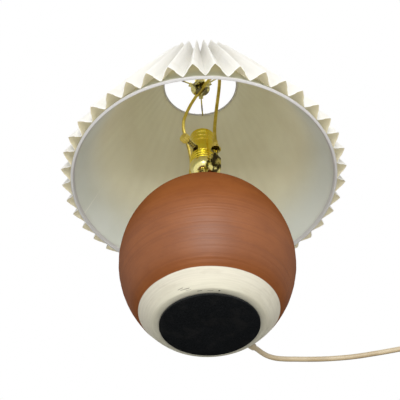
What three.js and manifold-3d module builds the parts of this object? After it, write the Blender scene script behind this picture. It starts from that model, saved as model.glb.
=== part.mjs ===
// Table lamp: a hollow ceramic ball on a felted foot, a brass turn-knob socket on a threaded pipe,
// a wire harp on its saddle, and a conical shade of a smooth liner under an accordion-pleated cover.
// Millimetres, +Z up, origin on the table at the centre of the foot, and the camera side is -Y.

import * as THREE from 'three';
import { mergeVertices } from 'three/addons/utils/BufferGeometryUtils.js';
import Module from 'manifold-3d';

const wasm = await Module();
wasm.setup();

// Clearances and walls shared by neighbours
const GAP = 0.3;
const CUT_OVERRUN = 4;
const SHEET_BRASS = 1;

// Ceramic body
const BALL_RADIUS = 105;
const BALL_HALF_HEIGHT = 113;
const BALL_CENTRE_Z = 93;
const BODY_WALL = 6.5;
const BODY_FLOOR = 6;
const FOOT_RECESS_RADIUS = 50;
const FOOT_RECESS_HEIGHT = 20;
const BODY_PIPE_HOLE_RADIUS = 6;

// Felt pad under the foot
const FELT_RADIUS = 56;
const FELT_THICKNESS = 2.5;

// Threaded pipe with its washer and nuts
const PIPE_RADIUS = 4.9;
const PIPE_BORE_RADIUS = 3.45;
const WASHER_RADIUS = 18;
const WASHER_THICKNESS = 1.6;
const NUT_FLATS_RADIUS = 7.2;
const NUT_HEIGHT = 4;
const PIPE_END_BELOW_NUT = 0.6;

// Vase cap over the crown and turned neck on top of it
const VASE_CAP_RADIUS = 22;
const VASE_CAP_RISE = 8;
const VASE_CAP_BOSS_RADIUS = 8.4;
const VASE_CAP_SHOULDER_SHARES = [[0.982, 0.24], [0.82, 0.6], [0.55, 0.9]];
const NECK_RADIUS = 8;
const NECK_HEIGHT = 19;
const NECK_OUTLINE_SHARES = [
  [0.94, 0], [1, 0.1], [0.84, 0.2], [0.75, 0.45], [0.8, 0.76], [1, 0.9], [0.94, 1],
];

// Harp saddle: a bent strip whose shouldered ends narrow to tips inside the ferrules
const HARP_AZIMUTH = THREE.MathUtils.degToRad(-56);
const SADDLE_HALF_SPREAD = 31;
const SADDLE_HEIGHT = 48;
const SADDLE_WIDTH = 16;
const SADDLE_THICKNESS = 1.6;
const SADDLE_BASE_HALF_LENGTH = 22;
const SADDLE_CORNER_RISE = 7;
const SADDLE_SHOULDER_DROP = 22;
const SADDLE_SHOULDER_HEIGHT = 5;
const SADDLE_TIP_WIDTH = 6;
const SADDLE_TIP_LENGTH = 9;

// Harp wire
const HARP_WIRE_RADIUS = 2.2;
const HARP_HEIGHT = 164;
const HARP_STRAIGHT_LEG = 30;
const HARP_HALF_WIDTH = 51;
const HARP_BOW_SHARES = [[0.1, 0.28], [0.42, 0.46], [0.8, 0.64], [1, 0.79]];
const HARP_SHOULDER_SHARES = [[0.94, 0.9], [0.62, 0.975]];
const HARP_TOP_FLAT = 30;

// Ferrules that sleeve the harp legs onto the saddle tips
const FERRULE_MOUTH_RADIUS = 6;
const FERRULE_LENGTH = 17;
const FERRULE_WALL = 0.9;
const FERRULE_OVERLAP = 8;
const FERRULE_CUP_SHARE = 0.5;
const FERRULE_NECK_SHARE = 0.78;

// Stud block on the crown of the harp, and the finial that screws onto it
const STUD_BLOCK_RADIUS = 7.5;
const STUD_BLOCK_HEIGHT = 8.4;
const STUD_RADIUS = 3.1;
const STUD_LENGTH = 15;
const FINIAL_RADIUS = 8.5;
const FINIAL_HEIGHT = 31;
const FINIAL_FOOT_HEIGHT = 12.6;
const FINIAL_OUTLINE_SHARES = [
  [0.8, 0], [0.86, 0.05], [0.55, 0.14], [0.5, 0.28], [0.62, 0.35], [0.5, 0.4], [0.9, 0.5],
  [1, 0.62], [0.84, 0.78], [0.3, 0.9], [0.24, 0.97],
];

// Socket cap, shell, liner sleeve and working parts
const KNOB_AZIMUTH = THREE.MathUtils.degToRad(232);
const CAP_HUB_RADIUS = 8.6;
const CAP_HUB_HEIGHT = 15;
const CAP_DOME_HEIGHT = 16;
const CAP_DOME_SHARES = [[0.36, 0.12], [0.74, 0.34], [1, 0.66]];
const SHELL_RADIUS = 16.9;
const SHELL_WALL = 0.7;
const SHELL_HEIGHT = 64;
const SHELL_ENTRY = 3.6;
const SHELL_BEAD_RISE = 1.3;
const SHELL_BEAD_HEIGHT = 3.6;
const SHELL_RIB_RISE = 0.5;
const SHELL_RIB_HEIGHT = 2.4;
const SHELL_RIB_SHARES = [0.64, 0.76, 0.88];
const SLEEVE_WALL = 0.6;
const SLEEVE_END_DROP = 3;
const INTERIOR_RADIUS = 14.6;
const INTERIOR_TOP_DROP = 30;
const INTERIOR_FOOT_SHARES = [[0.5, 0], [0.5, 0.28], [0.78, 0.5], [1, 0.9]];
const INTERIOR_FOOT_HEIGHT = 13;
const SCREW_SHELL_RADIUS = 14.2;
const SCREW_SHELL_WALL = 0.6;
const SCREW_SHELL_TOP_DROP = 5;
const SCREW_SHELL_EYE_RADIUS = 7;
const SCREW_THREAD_DEPTH = 0.5;
const SCREW_THREAD_COUNT = 3;
const CONTACT_RADIUS = 3.4;
const CONTACT_HEIGHT = 4;
const CONTACT_OUTLINE_SHARES = [[0.6, 0], [0.6, 0.55], [1, 0.6], [0.86, 0.86], [0.4, 1]];

// Set screw in the cap's hub
const SET_SCREW_HEAD_RADIUS = 2.9;
const SET_SCREW_HEAD_LENGTH = 2.2;
const SET_SCREW_SLOT_WIDTH = 1;
const SET_SCREW_HEIGHT_SHARE = 0.66;
const SET_SCREW_AZIMUTH = THREE.MathUtils.degToRad(20);

// Turn knob on its ribbed shaft
const KNOB_BELOW_INTERIOR_TOP = 6.48;
const KNOB_RADIUS = 6.8;
const KNOB_LENGTH = 9;
const KNOB_FLUTES = 12;
const KNOB_FLUTE_RADIUS = 1;
const KNOB_REACH = 43;
const SHAFT_RADIUS = 3.5;
const SHAFT_ROOT_RADIUS = 2.5;
const SHAFT_INNER_END = 5;
const SHAFT_RIB_COUNT = 5;
const SHAFT_RIB_DEPTH = 0.6;
const SLOT_HALF_WIDTH = 4.4;
const SLOT_DROP = 6;

// Shade frame, liner and trims; s runs up the slant and n out of it
const SHADE_BOTTOM_RADIUS = 174;
const SHADE_TOP_RADIUS = 57.5;
const SHADE_BOTTOM_Z = 225.5;
const SHADE_HEIGHT = 232;
const LINER_THICKNESS = 0.8;
const RING_WIRE_RADIUS = 1.2;
const RING_INSET = 1.8;
const TRIM_WALL = 0.6;
const TRIM_LEG = 4;

// Accordion-pleated cover: a strip of constant panel width folded round the liner
const PLEATS = 42;
const PLEAT_PANEL_WIDTH = 18.5;
const PLEAT_CLOTH_THICKNESS = 0.7;
const PLEAT_TOP_OVERHANG = 4;
const PLEAT_PHASE = THREE.MathUtils.degToRad(-2.1);

// Spider that hangs the shade from the harp
const SPIDER_ARM_COUNT = 3;
const SPIDER_AZIMUTH = THREE.MathUtils.degToRad(88);
const SPIDER_HUB_RADIUS = 12.5;
const SPIDER_EAR_REACH = 19;
const SPIDER_EAR_HALF_WIDTH = 3.4;
const SPIDER_HUB_THICKNESS = 1.8;
const SPIDER_HOLE_RADIUS = 3.6;
const SPIDER_ARM_RADIUS = 1.2;
const SPIDER_ARM_INNER = 14.5;
const SPIDER_ARM_LEVEL_SHARE = 0.55;

// Supply cord, its coil, and the plug
const CORD_RADIUS = 3;
const CORD_EXIT_AZIMUTH = THREE.MathUtils.degToRad(47.5);
const CORD_EXIT_Z = 8.5;
const BUSHING_WALL = 0.9;
const BUSHING_PROJECTION = 5;
const BUSHING_TAIL = 1.5;
const INNER_CORD_BEND_RADIUS = 7.5;
const COIL_CENTRE = [282, 1.5];
const COIL_START_AZIMUTH = THREE.MathUtils.degToRad(78);
const COIL_INNER_RADIUS = 26;
const COIL_SPACING = 6.5;
const COIL_TURNS = 6.25;
const COIL_STEPS_PER_TURN = 24;
const TIE_THICKNESS = 0.8;
const TIE_WIDTH = 10;
const TIE_CLEARANCE = 0.7;
const TIE_AZIMUTH = THREE.MathUtils.degToRad(150);
const TIE_CORNER = 3;
const PLUG_AXIS_Z = 7.5;
const PLUG_LENGTH = 27;
const PLUG_WIDTH = 21;
const PLUG_THICKNESS = 14;
const PLUG_CORNER = 4;
const PLUG_WAIST_SHARE = 0.62;
const PLUG_BLADE_WIDTH = 6.3;
const PLUG_BLADE_THICKNESS = 1.5;
const PLUG_BLADE_LENGTH = 17;
const PLUG_BLADE_SPACING = 12.7;
const RELIEF_LENGTH = 26;
const RELIEF_END_RADIUS = 4.1;
const RELIEF_ROOT_RADIUS = 5.6;
const RELIEF_GROOVE_SHARES = [0.3, 0.5, 0.7];
const RELIEF_GROOVE_DEPTH = 0.6;
const RELIEF_GROOVE_WIDTH = 1.2;

// Route of the cord from the bushing along the table to its coil
const CORD_RUN_ROUTE = [
  [50.9, 55.5, 8.5], [54.8, 59.7, 8.2], [59.5, 63.4, 6.4], [66.3, 67.3, 4.3], [75.5, 70.7, 3.1],
  [87, 73.1, 3], [98.1, 74.1, 3], [114, 75.4, 3], [130.2, 76.1, 3], [146, 75.7, 3],
  [161.9, 74.4, 3], [175, 72.4, 3], [187, 69.8, 3], [203, 66, 3], [219.6, 61.7, 3],
  [236, 58.2, 3], [252, 54.8, 3.1], [266, 51.9, 3.6],
];

// Route of the cord from its coil to the plug
const CORD_TAIL_ROUTE = [
  [324.4, -27, 10], [320, -38.6, 8.6], [312.5, -48.2, 7.6], [303, -53.7, 7.3], [296, -55.4, 7.4],
];

// Levels and places that follow from the sizes above
const footZ = FELT_THICKNESS + GAP;
const recessTopZ = footZ + FOOT_RECESS_HEIGHT;
const floorTopZ = recessTopZ + BODY_FLOOR;
const crownZ = ballHeightAt(BODY_PIPE_HOLE_RADIUS);
const vaseCapRimZ = ballHeightAt(VASE_CAP_RADIUS) + GAP;
const vaseCapTopZ = vaseCapRimZ + VASE_CAP_RISE;
const neckZ = vaseCapTopZ + GAP;
const saddleZ = neckZ + NECK_HEIGHT + GAP;
const lockNutZ = saddleZ + SADDLE_THICKNESS + GAP;
const capZ = lockNutZ + NUT_HEIGHT + GAP;
const domeZ = capZ + CAP_HUB_HEIGHT;
const capRimZ = domeZ + CAP_DOME_HEIGHT;
const shellZ = capRimZ - SHELL_ENTRY;
const shellTopZ = shellZ + SHELL_HEIGHT;
const interiorTopZ = shellTopZ - INTERIOR_TOP_DROP;
const knobZ = interiorTopZ - KNOB_BELOW_INTERIOR_TOP;
const saddleTipZ = saddleZ + SADDLE_HEIGHT;
const harpLegZ = saddleTipZ + GAP;
const harpTopZ = harpLegZ + HARP_HEIGHT;
const ferruleZ = harpLegZ - FERRULE_OVERLAP;
const studBlockZ = harpTopZ - STUD_BLOCK_HEIGHT / 2;
const studZ = studBlockZ + STUD_BLOCK_HEIGHT;
const spiderHubZ = studZ + GAP;
const spiderHubTopZ = spiderHubZ + SPIDER_HUB_THICKNESS;
const finialZ = spiderHubTopZ + GAP;
const washerZ = recessTopZ - GAP - WASHER_THICKNESS;
const baseNutZ = washerZ - GAP - NUT_HEIGHT;
const pipeZ = baseNutZ - PIPE_END_BELOW_NUT;
const shadeSlant = Math.hypot(SHADE_HEIGHT, SHADE_BOTTOM_RADIUS - SHADE_TOP_RADIUS);
const shadeSin = (SHADE_BOTTOM_RADIUS - SHADE_TOP_RADIUS) / shadeSlant;
const shadeCos = SHADE_HEIGHT / shadeSlant;
const coilOuterRadius = COIL_INNER_RADIUS + (COIL_SPACING * COIL_TURNS) / 2;
const coilLowZ = TIE_THICKNESS + GAP + CORD_RADIUS;

// Facets round a full circle
const BODY_FACETS = 38;
const SHADE_FACETS = PLEATS;
const BRASS_FACETS = 24;
const SMALL_FACETS = 16;
const WIRE_FACETS = 8;

// Height of the ball's upper half at a radius
function ballHeightAt(radius) {
  return BALL_CENTRE_Z + BALL_HALF_HEIGHT * Math.sqrt(1 - (radius / BALL_RADIUS) ** 2);
}

// Radius of the ball at a height
function ballRadiusAt(z) {
  return BALL_RADIUS * Math.sqrt(1 - ((z - BALL_CENTRE_Z) / BALL_HALF_HEIGHT) ** 2);
}

// Point of the shade's section, s up the slant from the liner's bottom edge and n out of its inner face
function shadePoint(s, n) {
  return [
    SHADE_BOTTOM_RADIUS - s * shadeSin + n * shadeCos,
    SHADE_BOTTOM_Z + s * shadeCos + n * shadeSin,
  ];
}

// Outline points as shares of a width and a height
function scaled(shares, width, height, base = 0) {
  return shares.map(([x, y]) => [x * width, base + y * height]);
}

// Solid of revolution about Z from an outline in radius and height
function lathe(outline, facets) {
  const doubleArea = outline.reduce((sum, [r, z], i) => {
    const [nextR, nextZ] = outline[(i + 1) % outline.length];
    return sum + r * nextZ - nextR * z;
  }, 0);
  const points = doubleArea > 0 ? [...outline] : [...outline].reverse();
  if (points[0][0] > 0) {
    points.push(points[0]);
  }
  const profile = points.map(([r, z]) => new THREE.Vector2(r, z));
  return new THREE.LatheGeometry(profile, facets).rotateX(Math.PI / 2).rotateZ(Math.PI / 2);
}

// Polygon outline of a circle as a shape
function circleShape(radius, sides) {
  const corners = Array.from({ length: sides }, (_, i) => {
    const angle = (2 * Math.PI * i) / sides;
    return new THREE.Vector2(radius * Math.cos(angle), radius * Math.sin(angle));
  });
  return new THREE.Shape(corners);
}

// Round bar along a curve
function bar(curve, radius, sides, steps) {
  const options = { steps, extrudePath: curve, bevelEnabled: false };
  return new THREE.ExtrudeGeometry(circleShape(radius, sides), options);
}

// Flat plate of a shape, standing on z = 0
function plate(shape, depth, curveSegments = 8) {
  return new THREE.ExtrudeGeometry(shape, { depth, bevelEnabled: false, curveSegments });
}

// Rectangle with rounded corners, centred on the origin
function roundedRectangle(width, height, corner, Kind = THREE.Shape) {
  const x = width / 2;
  const y = height / 2;
  const outline = new Kind();
  outline.moveTo(x, y - corner);
  outline.absarc(x - corner, y - corner, corner, 0, Math.PI / 2);
  outline.absarc(corner - x, y - corner, corner, Math.PI / 2, Math.PI);
  outline.absarc(corner - x, corner - y, corner, Math.PI, 1.5 * Math.PI);
  outline.absarc(x - corner, corner - y, corner, 1.5 * Math.PI, 2 * Math.PI);
  return outline;
}

// Round bar along X from one place to another
function barAlongX(radius, start, end, sides) {
  return new THREE.CylinderGeometry(radius, radius, end - start, sides)
    .rotateZ(-Math.PI / 2)
    .translate((start + end) / 2, 0, 0);
}

// Closed solid for a boolean from a geometry
function toSolid(geometry) {
  const bare = geometry.clone();
  bare.deleteAttribute('normal');
  bare.deleteAttribute('uv');
  const merged = mergeVertices(bare);
  const corners = merged.index.array;
  const kept = [];
  for (let i = 0; i < corners.length; i += 3) {
    const [a, b, c] = [corners[i], corners[i + 1], corners[i + 2]];
    if (a !== b && b !== c && c !== a) {
      kept.push(a, b, c);
    }
  }
  const vertProperties = merged.attributes.position.array;
  return new wasm.Manifold(new wasm.Mesh({ numProp: 3, vertProperties, triVerts: new Uint32Array(kept) }));
}

// Geometry of a boolean's result
function toGeometry(solid) {
  const mesh = solid.getMesh();
  const geometry = new THREE.BufferGeometry();
  geometry.setAttribute('position', new THREE.BufferAttribute(mesh.vertProperties, 3));
  geometry.setIndex(new THREE.BufferAttribute(mesh.triVerts, 1));
  return geometry;
}

// A geometry with tools cut out of it
function cut(geometry, ...tools) {
  return toGeometry(tools.reduce((solid, tool) => solid.subtract(toSolid(tool)), toSolid(geometry)));
}

// Geometries joined to one body
function join(geometry, ...others) {
  return toGeometry(others.reduce((solid, other) => solid.add(toSolid(other)), toSolid(geometry)));
}

// What two geometries share
function common(geometry, other) {
  return toGeometry(toSolid(geometry).intersect(toSolid(other)));
}

// Finishes, with the photograph's colours
const finish = (color, roughness, metalness) => () => (
  new THREE.MeshStandardMaterial({ color, roughness, metalness })
);
const terracotta = finish(0x9a5f3f, 0.5, 0);
const blackFelt = finish(0x15171a, 1, 0);
const zincSteel = finish(0xa9a9a4, 0.4, 1);
const polishedBrass = finish(0xc9a227, 0.22, 1);
const darkBrass = finish(0x8a7035, 0.3, 1);
const tanBrass = finish(0xb89a5a, 0.35, 1);
const phenolic = finish(0x2a2522, 0.45, 0);
const fibreboard = finish(0x8f7b5c, 0.9, 0);
const whiteCloth = finish(0xf2f0ee, 0.85, 0);
const whiteTrim = finish(0xf7f6f8, 0.7, 0);
const ivoryLiner = finish(0xdcd8cf, 0.6, 0);
const enamelledWire = finish(0xdedbd2, 0.4, 0.2);
const ivoryCord = finish(0xcdb894, 0.5, 0);
const nickel = finish(0xc8c6c0, 0.25, 1);

// Adds a named piece to its group
function place(group, name, geometry, material) {
  const mesh = new THREE.Mesh(geometry, material());
  mesh.name = name;
  group.add(mesh);
  return mesh;
}

// Part of an ellipse's upward run between two angles, as outline points
function ellipseRun(radius, halfHeight, fromAngle, toAngle, steps) {
  return Array.from({ length: steps + 1 }, (_, i) => {
    const angle = fromAngle + ((toAngle - fromAngle) * i) / steps;
    return [radius * Math.cos(angle), BALL_CENTRE_Z + halfHeight * Math.sin(angle)];
  });
}

// Ceramic ball: uniform wall, thick floor, foot ring with a turned recess, and the drilled cord hole
function ceramicBody() {
  const innerRadius = BALL_RADIUS - BODY_WALL;
  const innerHalfHeight = BALL_HALF_HEIGHT - BODY_WALL;
  const outside = ellipseRun(
    BALL_RADIUS,
    BALL_HALF_HEIGHT,
    Math.asin((footZ - BALL_CENTRE_Z) / BALL_HALF_HEIGHT),
    Math.acos(BODY_PIPE_HOLE_RADIUS / BALL_RADIUS),
    18,
  );
  const inside = ellipseRun(
    innerRadius,
    innerHalfHeight,
    Math.acos(BODY_PIPE_HOLE_RADIUS / innerRadius),
    Math.asin((floorTopZ - BALL_CENTRE_Z) / innerHalfHeight),
    8,
  );
  const foot = [
    [BODY_PIPE_HOLE_RADIUS, floorTopZ],
    [BODY_PIPE_HOLE_RADIUS, recessTopZ],
    [FOOT_RECESS_RADIUS, recessTopZ],
    [FOOT_RECESS_RADIUS, footZ],
  ];
  const ball = lathe([...outside, ...inside, ...foot], BODY_FACETS);
  const holeRadius = bushingRadius() + GAP;
  const drill = barAlongX(holeRadius, FOOT_RECESS_RADIUS - CUT_OVERRUN, BALL_RADIUS, SMALL_FACETS);
  return cut(ball, drill.translate(0, 0, CORD_EXIT_Z).rotateZ(CORD_EXIT_AZIMUTH));
}

// Outer radius of the bushing that lines the cord hole
function bushingRadius() {
  return CORD_RADIUS + GAP + BUSHING_WALL;
}

// Radius from the lamp's axis at which the bushing ends outside the wall
function bushingEnd() {
  return ballRadiusAt(CORD_EXIT_Z) + BUSHING_PROJECTION;
}

// Sleeve through the foot ring, round the cord
function cordBushing() {
  const start = FOOT_RECESS_RADIUS - BUSHING_TAIL;
  const barrel = barAlongX(bushingRadius(), start, bushingEnd(), SMALL_FACETS);
  const bore = barAlongX(CORD_RADIUS + GAP, start - CUT_OVERRUN, bushingEnd() + CUT_OVERRUN, SMALL_FACETS);
  return cut(barrel, bore).translate(0, 0, CORD_EXIT_Z).rotateZ(CORD_EXIT_AZIMUTH);
}

// Cord inside the base: in through the bushing, round a bend and up the pipe
function innerCord() {
  const away = new THREE.Vector3(Math.cos(CORD_EXIT_AZIMUTH), Math.sin(CORD_EXIT_AZIMUTH), 0);
  const at = (distance, z) => away.clone().multiplyScalar(distance).setZ(z);
  const path = new THREE.CurvePath();
  const bendStart = at(INNER_CORD_BEND_RADIUS, CORD_EXIT_Z);
  const bendEnd = at(0, CORD_EXIT_Z + INNER_CORD_BEND_RADIUS);
  path.add(new THREE.LineCurve3(at(bushingEnd(), CORD_EXIT_Z), bendStart));
  path.add(new THREE.QuadraticBezierCurve3(bendStart, at(0, CORD_EXIT_Z), bendEnd));
  path.add(new THREE.LineCurve3(bendEnd, at(0, domeZ)));
  return bar(path, CORD_RADIUS, WIRE_FACETS, 20);
}

// Flat ring or disc standing on a level
function ring(outerRadius, boreRadius, z, thickness, facets) {
  const top = z + thickness;
  return lathe([[boreRadius, z], [outerRadius, z], [outerRadius, top], [boreRadius, top]], facets);
}

// Hexagonal nut on the pipe
function pipeNut(z) {
  const hexagon = circleShape(NUT_FLATS_RADIUS / Math.cos(Math.PI / 6), 6);
  hexagon.holes.push(circleShape(PIPE_RADIUS + GAP, SMALL_FACETS));
  return plate(hexagon, NUT_HEIGHT).translate(0, 0, z);
}

// Spun cap that hides the hole in the crown
function vaseCap() {
  const bore = PIPE_RADIUS + GAP;
  const shoulder = scaled(VASE_CAP_SHOULDER_SHARES, VASE_CAP_RADIUS, VASE_CAP_RISE, vaseCapRimZ);
  const under = shoulder.map(([r, z]) => [r - SHEET_BRASS, z - SHEET_BRASS]).reverse();
  return lathe(
    [
      [VASE_CAP_RADIUS, vaseCapRimZ],
      ...shoulder,
      [VASE_CAP_BOSS_RADIUS, vaseCapTopZ],
      [bore, vaseCapTopZ],
      [bore, vaseCapTopZ - SHEET_BRASS],
      [VASE_CAP_BOSS_RADIUS, vaseCapTopZ - SHEET_BRASS],
      ...under,
      [VASE_CAP_RADIUS - SHEET_BRASS, vaseCapRimZ],
    ],
    BRASS_FACETS,
  );
}

// Turned neck between the vase cap and the saddle
function neck() {
  const bore = PIPE_RADIUS + GAP;
  const outline = scaled(NECK_OUTLINE_SHARES, NECK_RADIUS, NECK_HEIGHT, neckZ);
  return lathe([[bore, neckZ], ...outline, [bore, neckZ + NECK_HEIGHT]], BRASS_FACETS);
}

// Saddle in its own frame: the bent strip seen from the side, trimmed to its outline seen along the harp
function saddle() {
  const spread = SADDLE_HALF_SPREAD;
  const top = SADDLE_HEIGHT;
  const t = SADDLE_THICKNESS;
  const armFootZ = SADDLE_CORNER_RISE;
  const tipFootZ = top - SADDLE_TIP_LENGTH;
  const half = [
    [SADDLE_BASE_HALF_LENGTH - t, t],
    [spread - 2 * t, armFootZ + t],
    [spread - t / 2, tipFootZ],
    [spread - t / 2, top],
    [spread + t / 2, top],
    [spread + t / 2, tipFootZ],
    [spread - t, armFootZ],
    [SADDLE_BASE_HALF_LENGTH, 0],
  ];
  const otherHalf = half.map(([x, z]) => [-x, z]).reverse();
  const side = new THREE.Shape([...half, ...otherHalf].map(([x, z]) => new THREE.Vector2(x, z)));
  const strip = plate(side, SADDLE_WIDTH).rotateX(Math.PI / 2).translate(0, SADDLE_WIDTH / 2, 0);
  const shoulderZ = top - SADDLE_SHOULDER_DROP;
  const halfWidth = SADDLE_WIDTH / 2;
  const halfTip = SADDLE_TIP_WIDTH / 2;
  const front = new THREE.Shape(
    [
      [-halfWidth, -CUT_OVERRUN],
      [halfWidth, -CUT_OVERRUN],
      [halfWidth, shoulderZ],
      [halfTip, shoulderZ + SADDLE_SHOULDER_HEIGHT],
      [halfTip, top + CUT_OVERRUN],
      [-halfTip, top + CUT_OVERRUN],
      [-halfTip, shoulderZ + SADDLE_SHOULDER_HEIGHT],
      [-halfWidth, shoulderZ],
    ].map(([y, z]) => new THREE.Vector2(y, z)),
  );
  const reach = SADDLE_HALF_SPREAD + CUT_OVERRUN;
  const mask = plate(front, 2 * reach).rotateX(Math.PI / 2).rotateZ(Math.PI / 2).translate(-reach, 0, 0);
  const hole = PIPE_RADIUS + GAP;
  const pipeHole = new THREE.CylinderGeometry(hole, hole, 2 * CUT_OVERRUN, SMALL_FACETS);
  return cut(common(strip, mask), pipeHole.rotateX(Math.PI / 2)).translate(0, 0, saddleZ);
}

// Harp in its own plane: straight legs, bowed sides and a flat crown
function harpCurve() {
  const point = (x, z) => new THREE.Vector3(x, 0, z);
  const bowRise = HARP_HALF_WIDTH - SADDLE_HALF_SPREAD;
  const rightSide = [
    point(SADDLE_HALF_SPREAD, harpLegZ),
    point(SADDLE_HALF_SPREAD, harpLegZ + HARP_STRAIGHT_LEG / 2),
    point(SADDLE_HALF_SPREAD, harpLegZ + HARP_STRAIGHT_LEG),
    ...HARP_BOW_SHARES.map(([bowShare, heightShare]) => (
      point(SADDLE_HALF_SPREAD + bowShare * bowRise, harpLegZ + heightShare * HARP_HEIGHT)
    )),
    ...HARP_SHOULDER_SHARES.map(([widthShare, heightShare]) => (
      point(widthShare * HARP_HALF_WIDTH, harpLegZ + heightShare * HARP_HEIGHT)
    )),
    point(HARP_TOP_FLAT / 2, harpTopZ),
    point(HARP_TOP_FLAT / 3, harpTopZ),
  ];
  const leftSide = rightSide.map((p) => point(-p.x, p.z)).reverse();
  return new THREE.CatmullRomCurve3([...rightSide, ...leftSide], false, 'centripetal');
}

// Sleeve with a wide mouth over the saddle tip and a neck close round the harp leg
function ferrule() {
  const neckBore = HARP_WIRE_RADIUS + GAP;
  const mouthBore = FERRULE_MOUTH_RADIUS - FERRULE_WALL;
  const cupZ = FERRULE_CUP_SHARE * FERRULE_LENGTH;
  const coneZ = FERRULE_NECK_SHARE * FERRULE_LENGTH;
  const outline = [
    [mouthBore, 0],
    [FERRULE_MOUTH_RADIUS, 0],
    [FERRULE_MOUTH_RADIUS, cupZ],
    [neckBore + FERRULE_WALL, coneZ],
    [neckBore + FERRULE_WALL, FERRULE_LENGTH],
    [neckBore, FERRULE_LENGTH],
    [neckBore, coneZ],
    [mouthBore, cupZ],
  ];
  return lathe(outline, SMALL_FACETS).translate(0, 0, ferruleZ);
}

// Block with a channel over the harp's crown, and the threaded stud on top
function harpStud() {
  const block = lathe(
    [
      [0, studBlockZ],
      [STUD_BLOCK_RADIUS, studBlockZ],
      [STUD_BLOCK_RADIUS, studZ],
      [STUD_RADIUS, studZ],
      [STUD_RADIUS, studZ + STUD_LENGTH],
      [0, studZ + STUD_LENGTH],
    ],
    BRASS_FACETS,
  );
  const channelHalf = HARP_WIRE_RADIUS + GAP;
  const reach = STUD_BLOCK_RADIUS + CUT_OVERRUN;
  const bore = barAlongX(channelHalf, -reach, reach, SMALL_FACETS).translate(0, 0, harpTopZ);
  const depth = STUD_BLOCK_HEIGHT / 2 + CUT_OVERRUN;
  const mouth = new THREE.BoxGeometry(2 * reach, 2 * channelHalf, depth);
  return cut(block, bore, mouth.translate(0, 0, harpTopZ - depth / 2));
}

// Turned finial with a blind hole for the stud
function finial() {
  const outline = scaled(FINIAL_OUTLINE_SHARES, FINIAL_RADIUS, FINIAL_HEIGHT, finialZ);
  const holeTopZ = finialZ + FINIAL_FOOT_HEIGHT + GAP;
  const bore = STUD_RADIUS + GAP;
  return lathe(
    [[bore, finialZ], ...outline, [0, finialZ + FINIAL_HEIGHT], [0, holeTopZ], [bore, holeTopZ]],
    BRASS_FACETS,
  );
}

// Brass cap: a hub on the pipe and a dome whose rim holds the shell
function socketCap() {
  const bore = PIPE_RADIUS + GAP;
  const rimInner = SHELL_RADIUS + GAP;
  const flare = rimInner + SHEET_BRASS - CAP_HUB_RADIUS;
  const dome = CAP_DOME_SHARES.map(([rShare, zShare]) => (
    [CAP_HUB_RADIUS + rShare * flare, domeZ + zShare * CAP_DOME_HEIGHT]
  ));
  const under = dome.map(([r, z]) => [r - SHEET_BRASS, z + SHEET_BRASS]).reverse();
  return lathe(
    [
      [bore, capZ],
      [CAP_HUB_RADIUS, capZ],
      [CAP_HUB_RADIUS, domeZ],
      ...dome,
      [rimInner + SHEET_BRASS, capRimZ],
      [rimInner, capRimZ],
      ...under,
      [CAP_HUB_RADIUS, domeZ + SHEET_BRASS],
      [bore, domeZ + SHEET_BRASS],
    ],
    BRASS_FACETS,
  );
}

// Outer face of the shell from its foot to its lip, with the bead, the rolled ribs and the flared lip
function shellFace() {
  const r = SHELL_RADIUS;
  const beadZ = capRimZ + GAP;
  const rib = (z, rise, height) => [
    [r, z],
    [r + rise, z + height / 3],
    [r + rise, z + (2 * height) / 3],
    [r, z + height],
  ];
  const ribs = SHELL_RIB_SHARES.flatMap((share) => (
    rib(shellZ + share * SHELL_HEIGHT, SHELL_RIB_RISE, SHELL_RIB_HEIGHT)
  ));
  return [
    [r, shellZ],
    ...rib(beadZ, SHELL_BEAD_RISE, SHELL_BEAD_HEIGHT),
    ...ribs,
    [r, shellTopZ - SHELL_RIB_HEIGHT],
    [r + SHELL_RIB_RISE, shellTopZ],
  ];
}

// Slot that clears the knob's shaft in a round wall
function shaftSlot() {
  const reach = SHELL_RADIUS + CUT_OVERRUN;
  const round = barAlongX(SLOT_HALF_WIDTH, 0, reach, SMALL_FACETS);
  const leg = new THREE.BoxGeometry(reach, 2 * SLOT_HALF_WIDTH, SLOT_DROP);
  return [round.translate(0, 0, knobZ), leg.translate(reach / 2, 0, knobZ - SLOT_DROP / 2)];
}

// Brass shell: its rolled face, a smooth bore one wall in, and the slot for the shaft
function socketShell() {
  const bore = SHELL_RADIUS - SHELL_WALL;
  return cut(lathe([...shellFace(), [bore, shellTopZ], [bore, shellZ]], BRASS_FACETS), ...shaftSlot());
}

// Fibre sleeve between the shell and the live parts
function insulatingSleeve() {
  const outer = SHELL_RADIUS - SHELL_WALL - GAP;
  const height = SHELL_HEIGHT - SLEEVE_END_DROP;
  return cut(ring(outer, outer - SLEEVE_WALL, shellZ, height, BRASS_FACETS), ...shaftSlot());
}

// Phenolic body of the socket, with the hole that takes the switch shaft
function socketInterior() {
  const seatZ = domeZ + SHEET_BRASS + GAP;
  const outline = [
    [0, seatZ],
    ...scaled(INTERIOR_FOOT_SHARES, INTERIOR_RADIUS, INTERIOR_FOOT_HEIGHT, seatZ),
    [INTERIOR_RADIUS, interiorTopZ],
    [0, interiorTopZ],
  ];
  const holeEnd = INTERIOR_RADIUS + CUT_OVERRUN;
  const hole = barAlongX(SHAFT_ROOT_RADIUS + GAP, SHAFT_INNER_END - GAP, holeEnd, SMALL_FACETS);
  return cut(lathe(outline, BRASS_FACETS), hole.translate(0, 0, knobZ));
}

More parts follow.
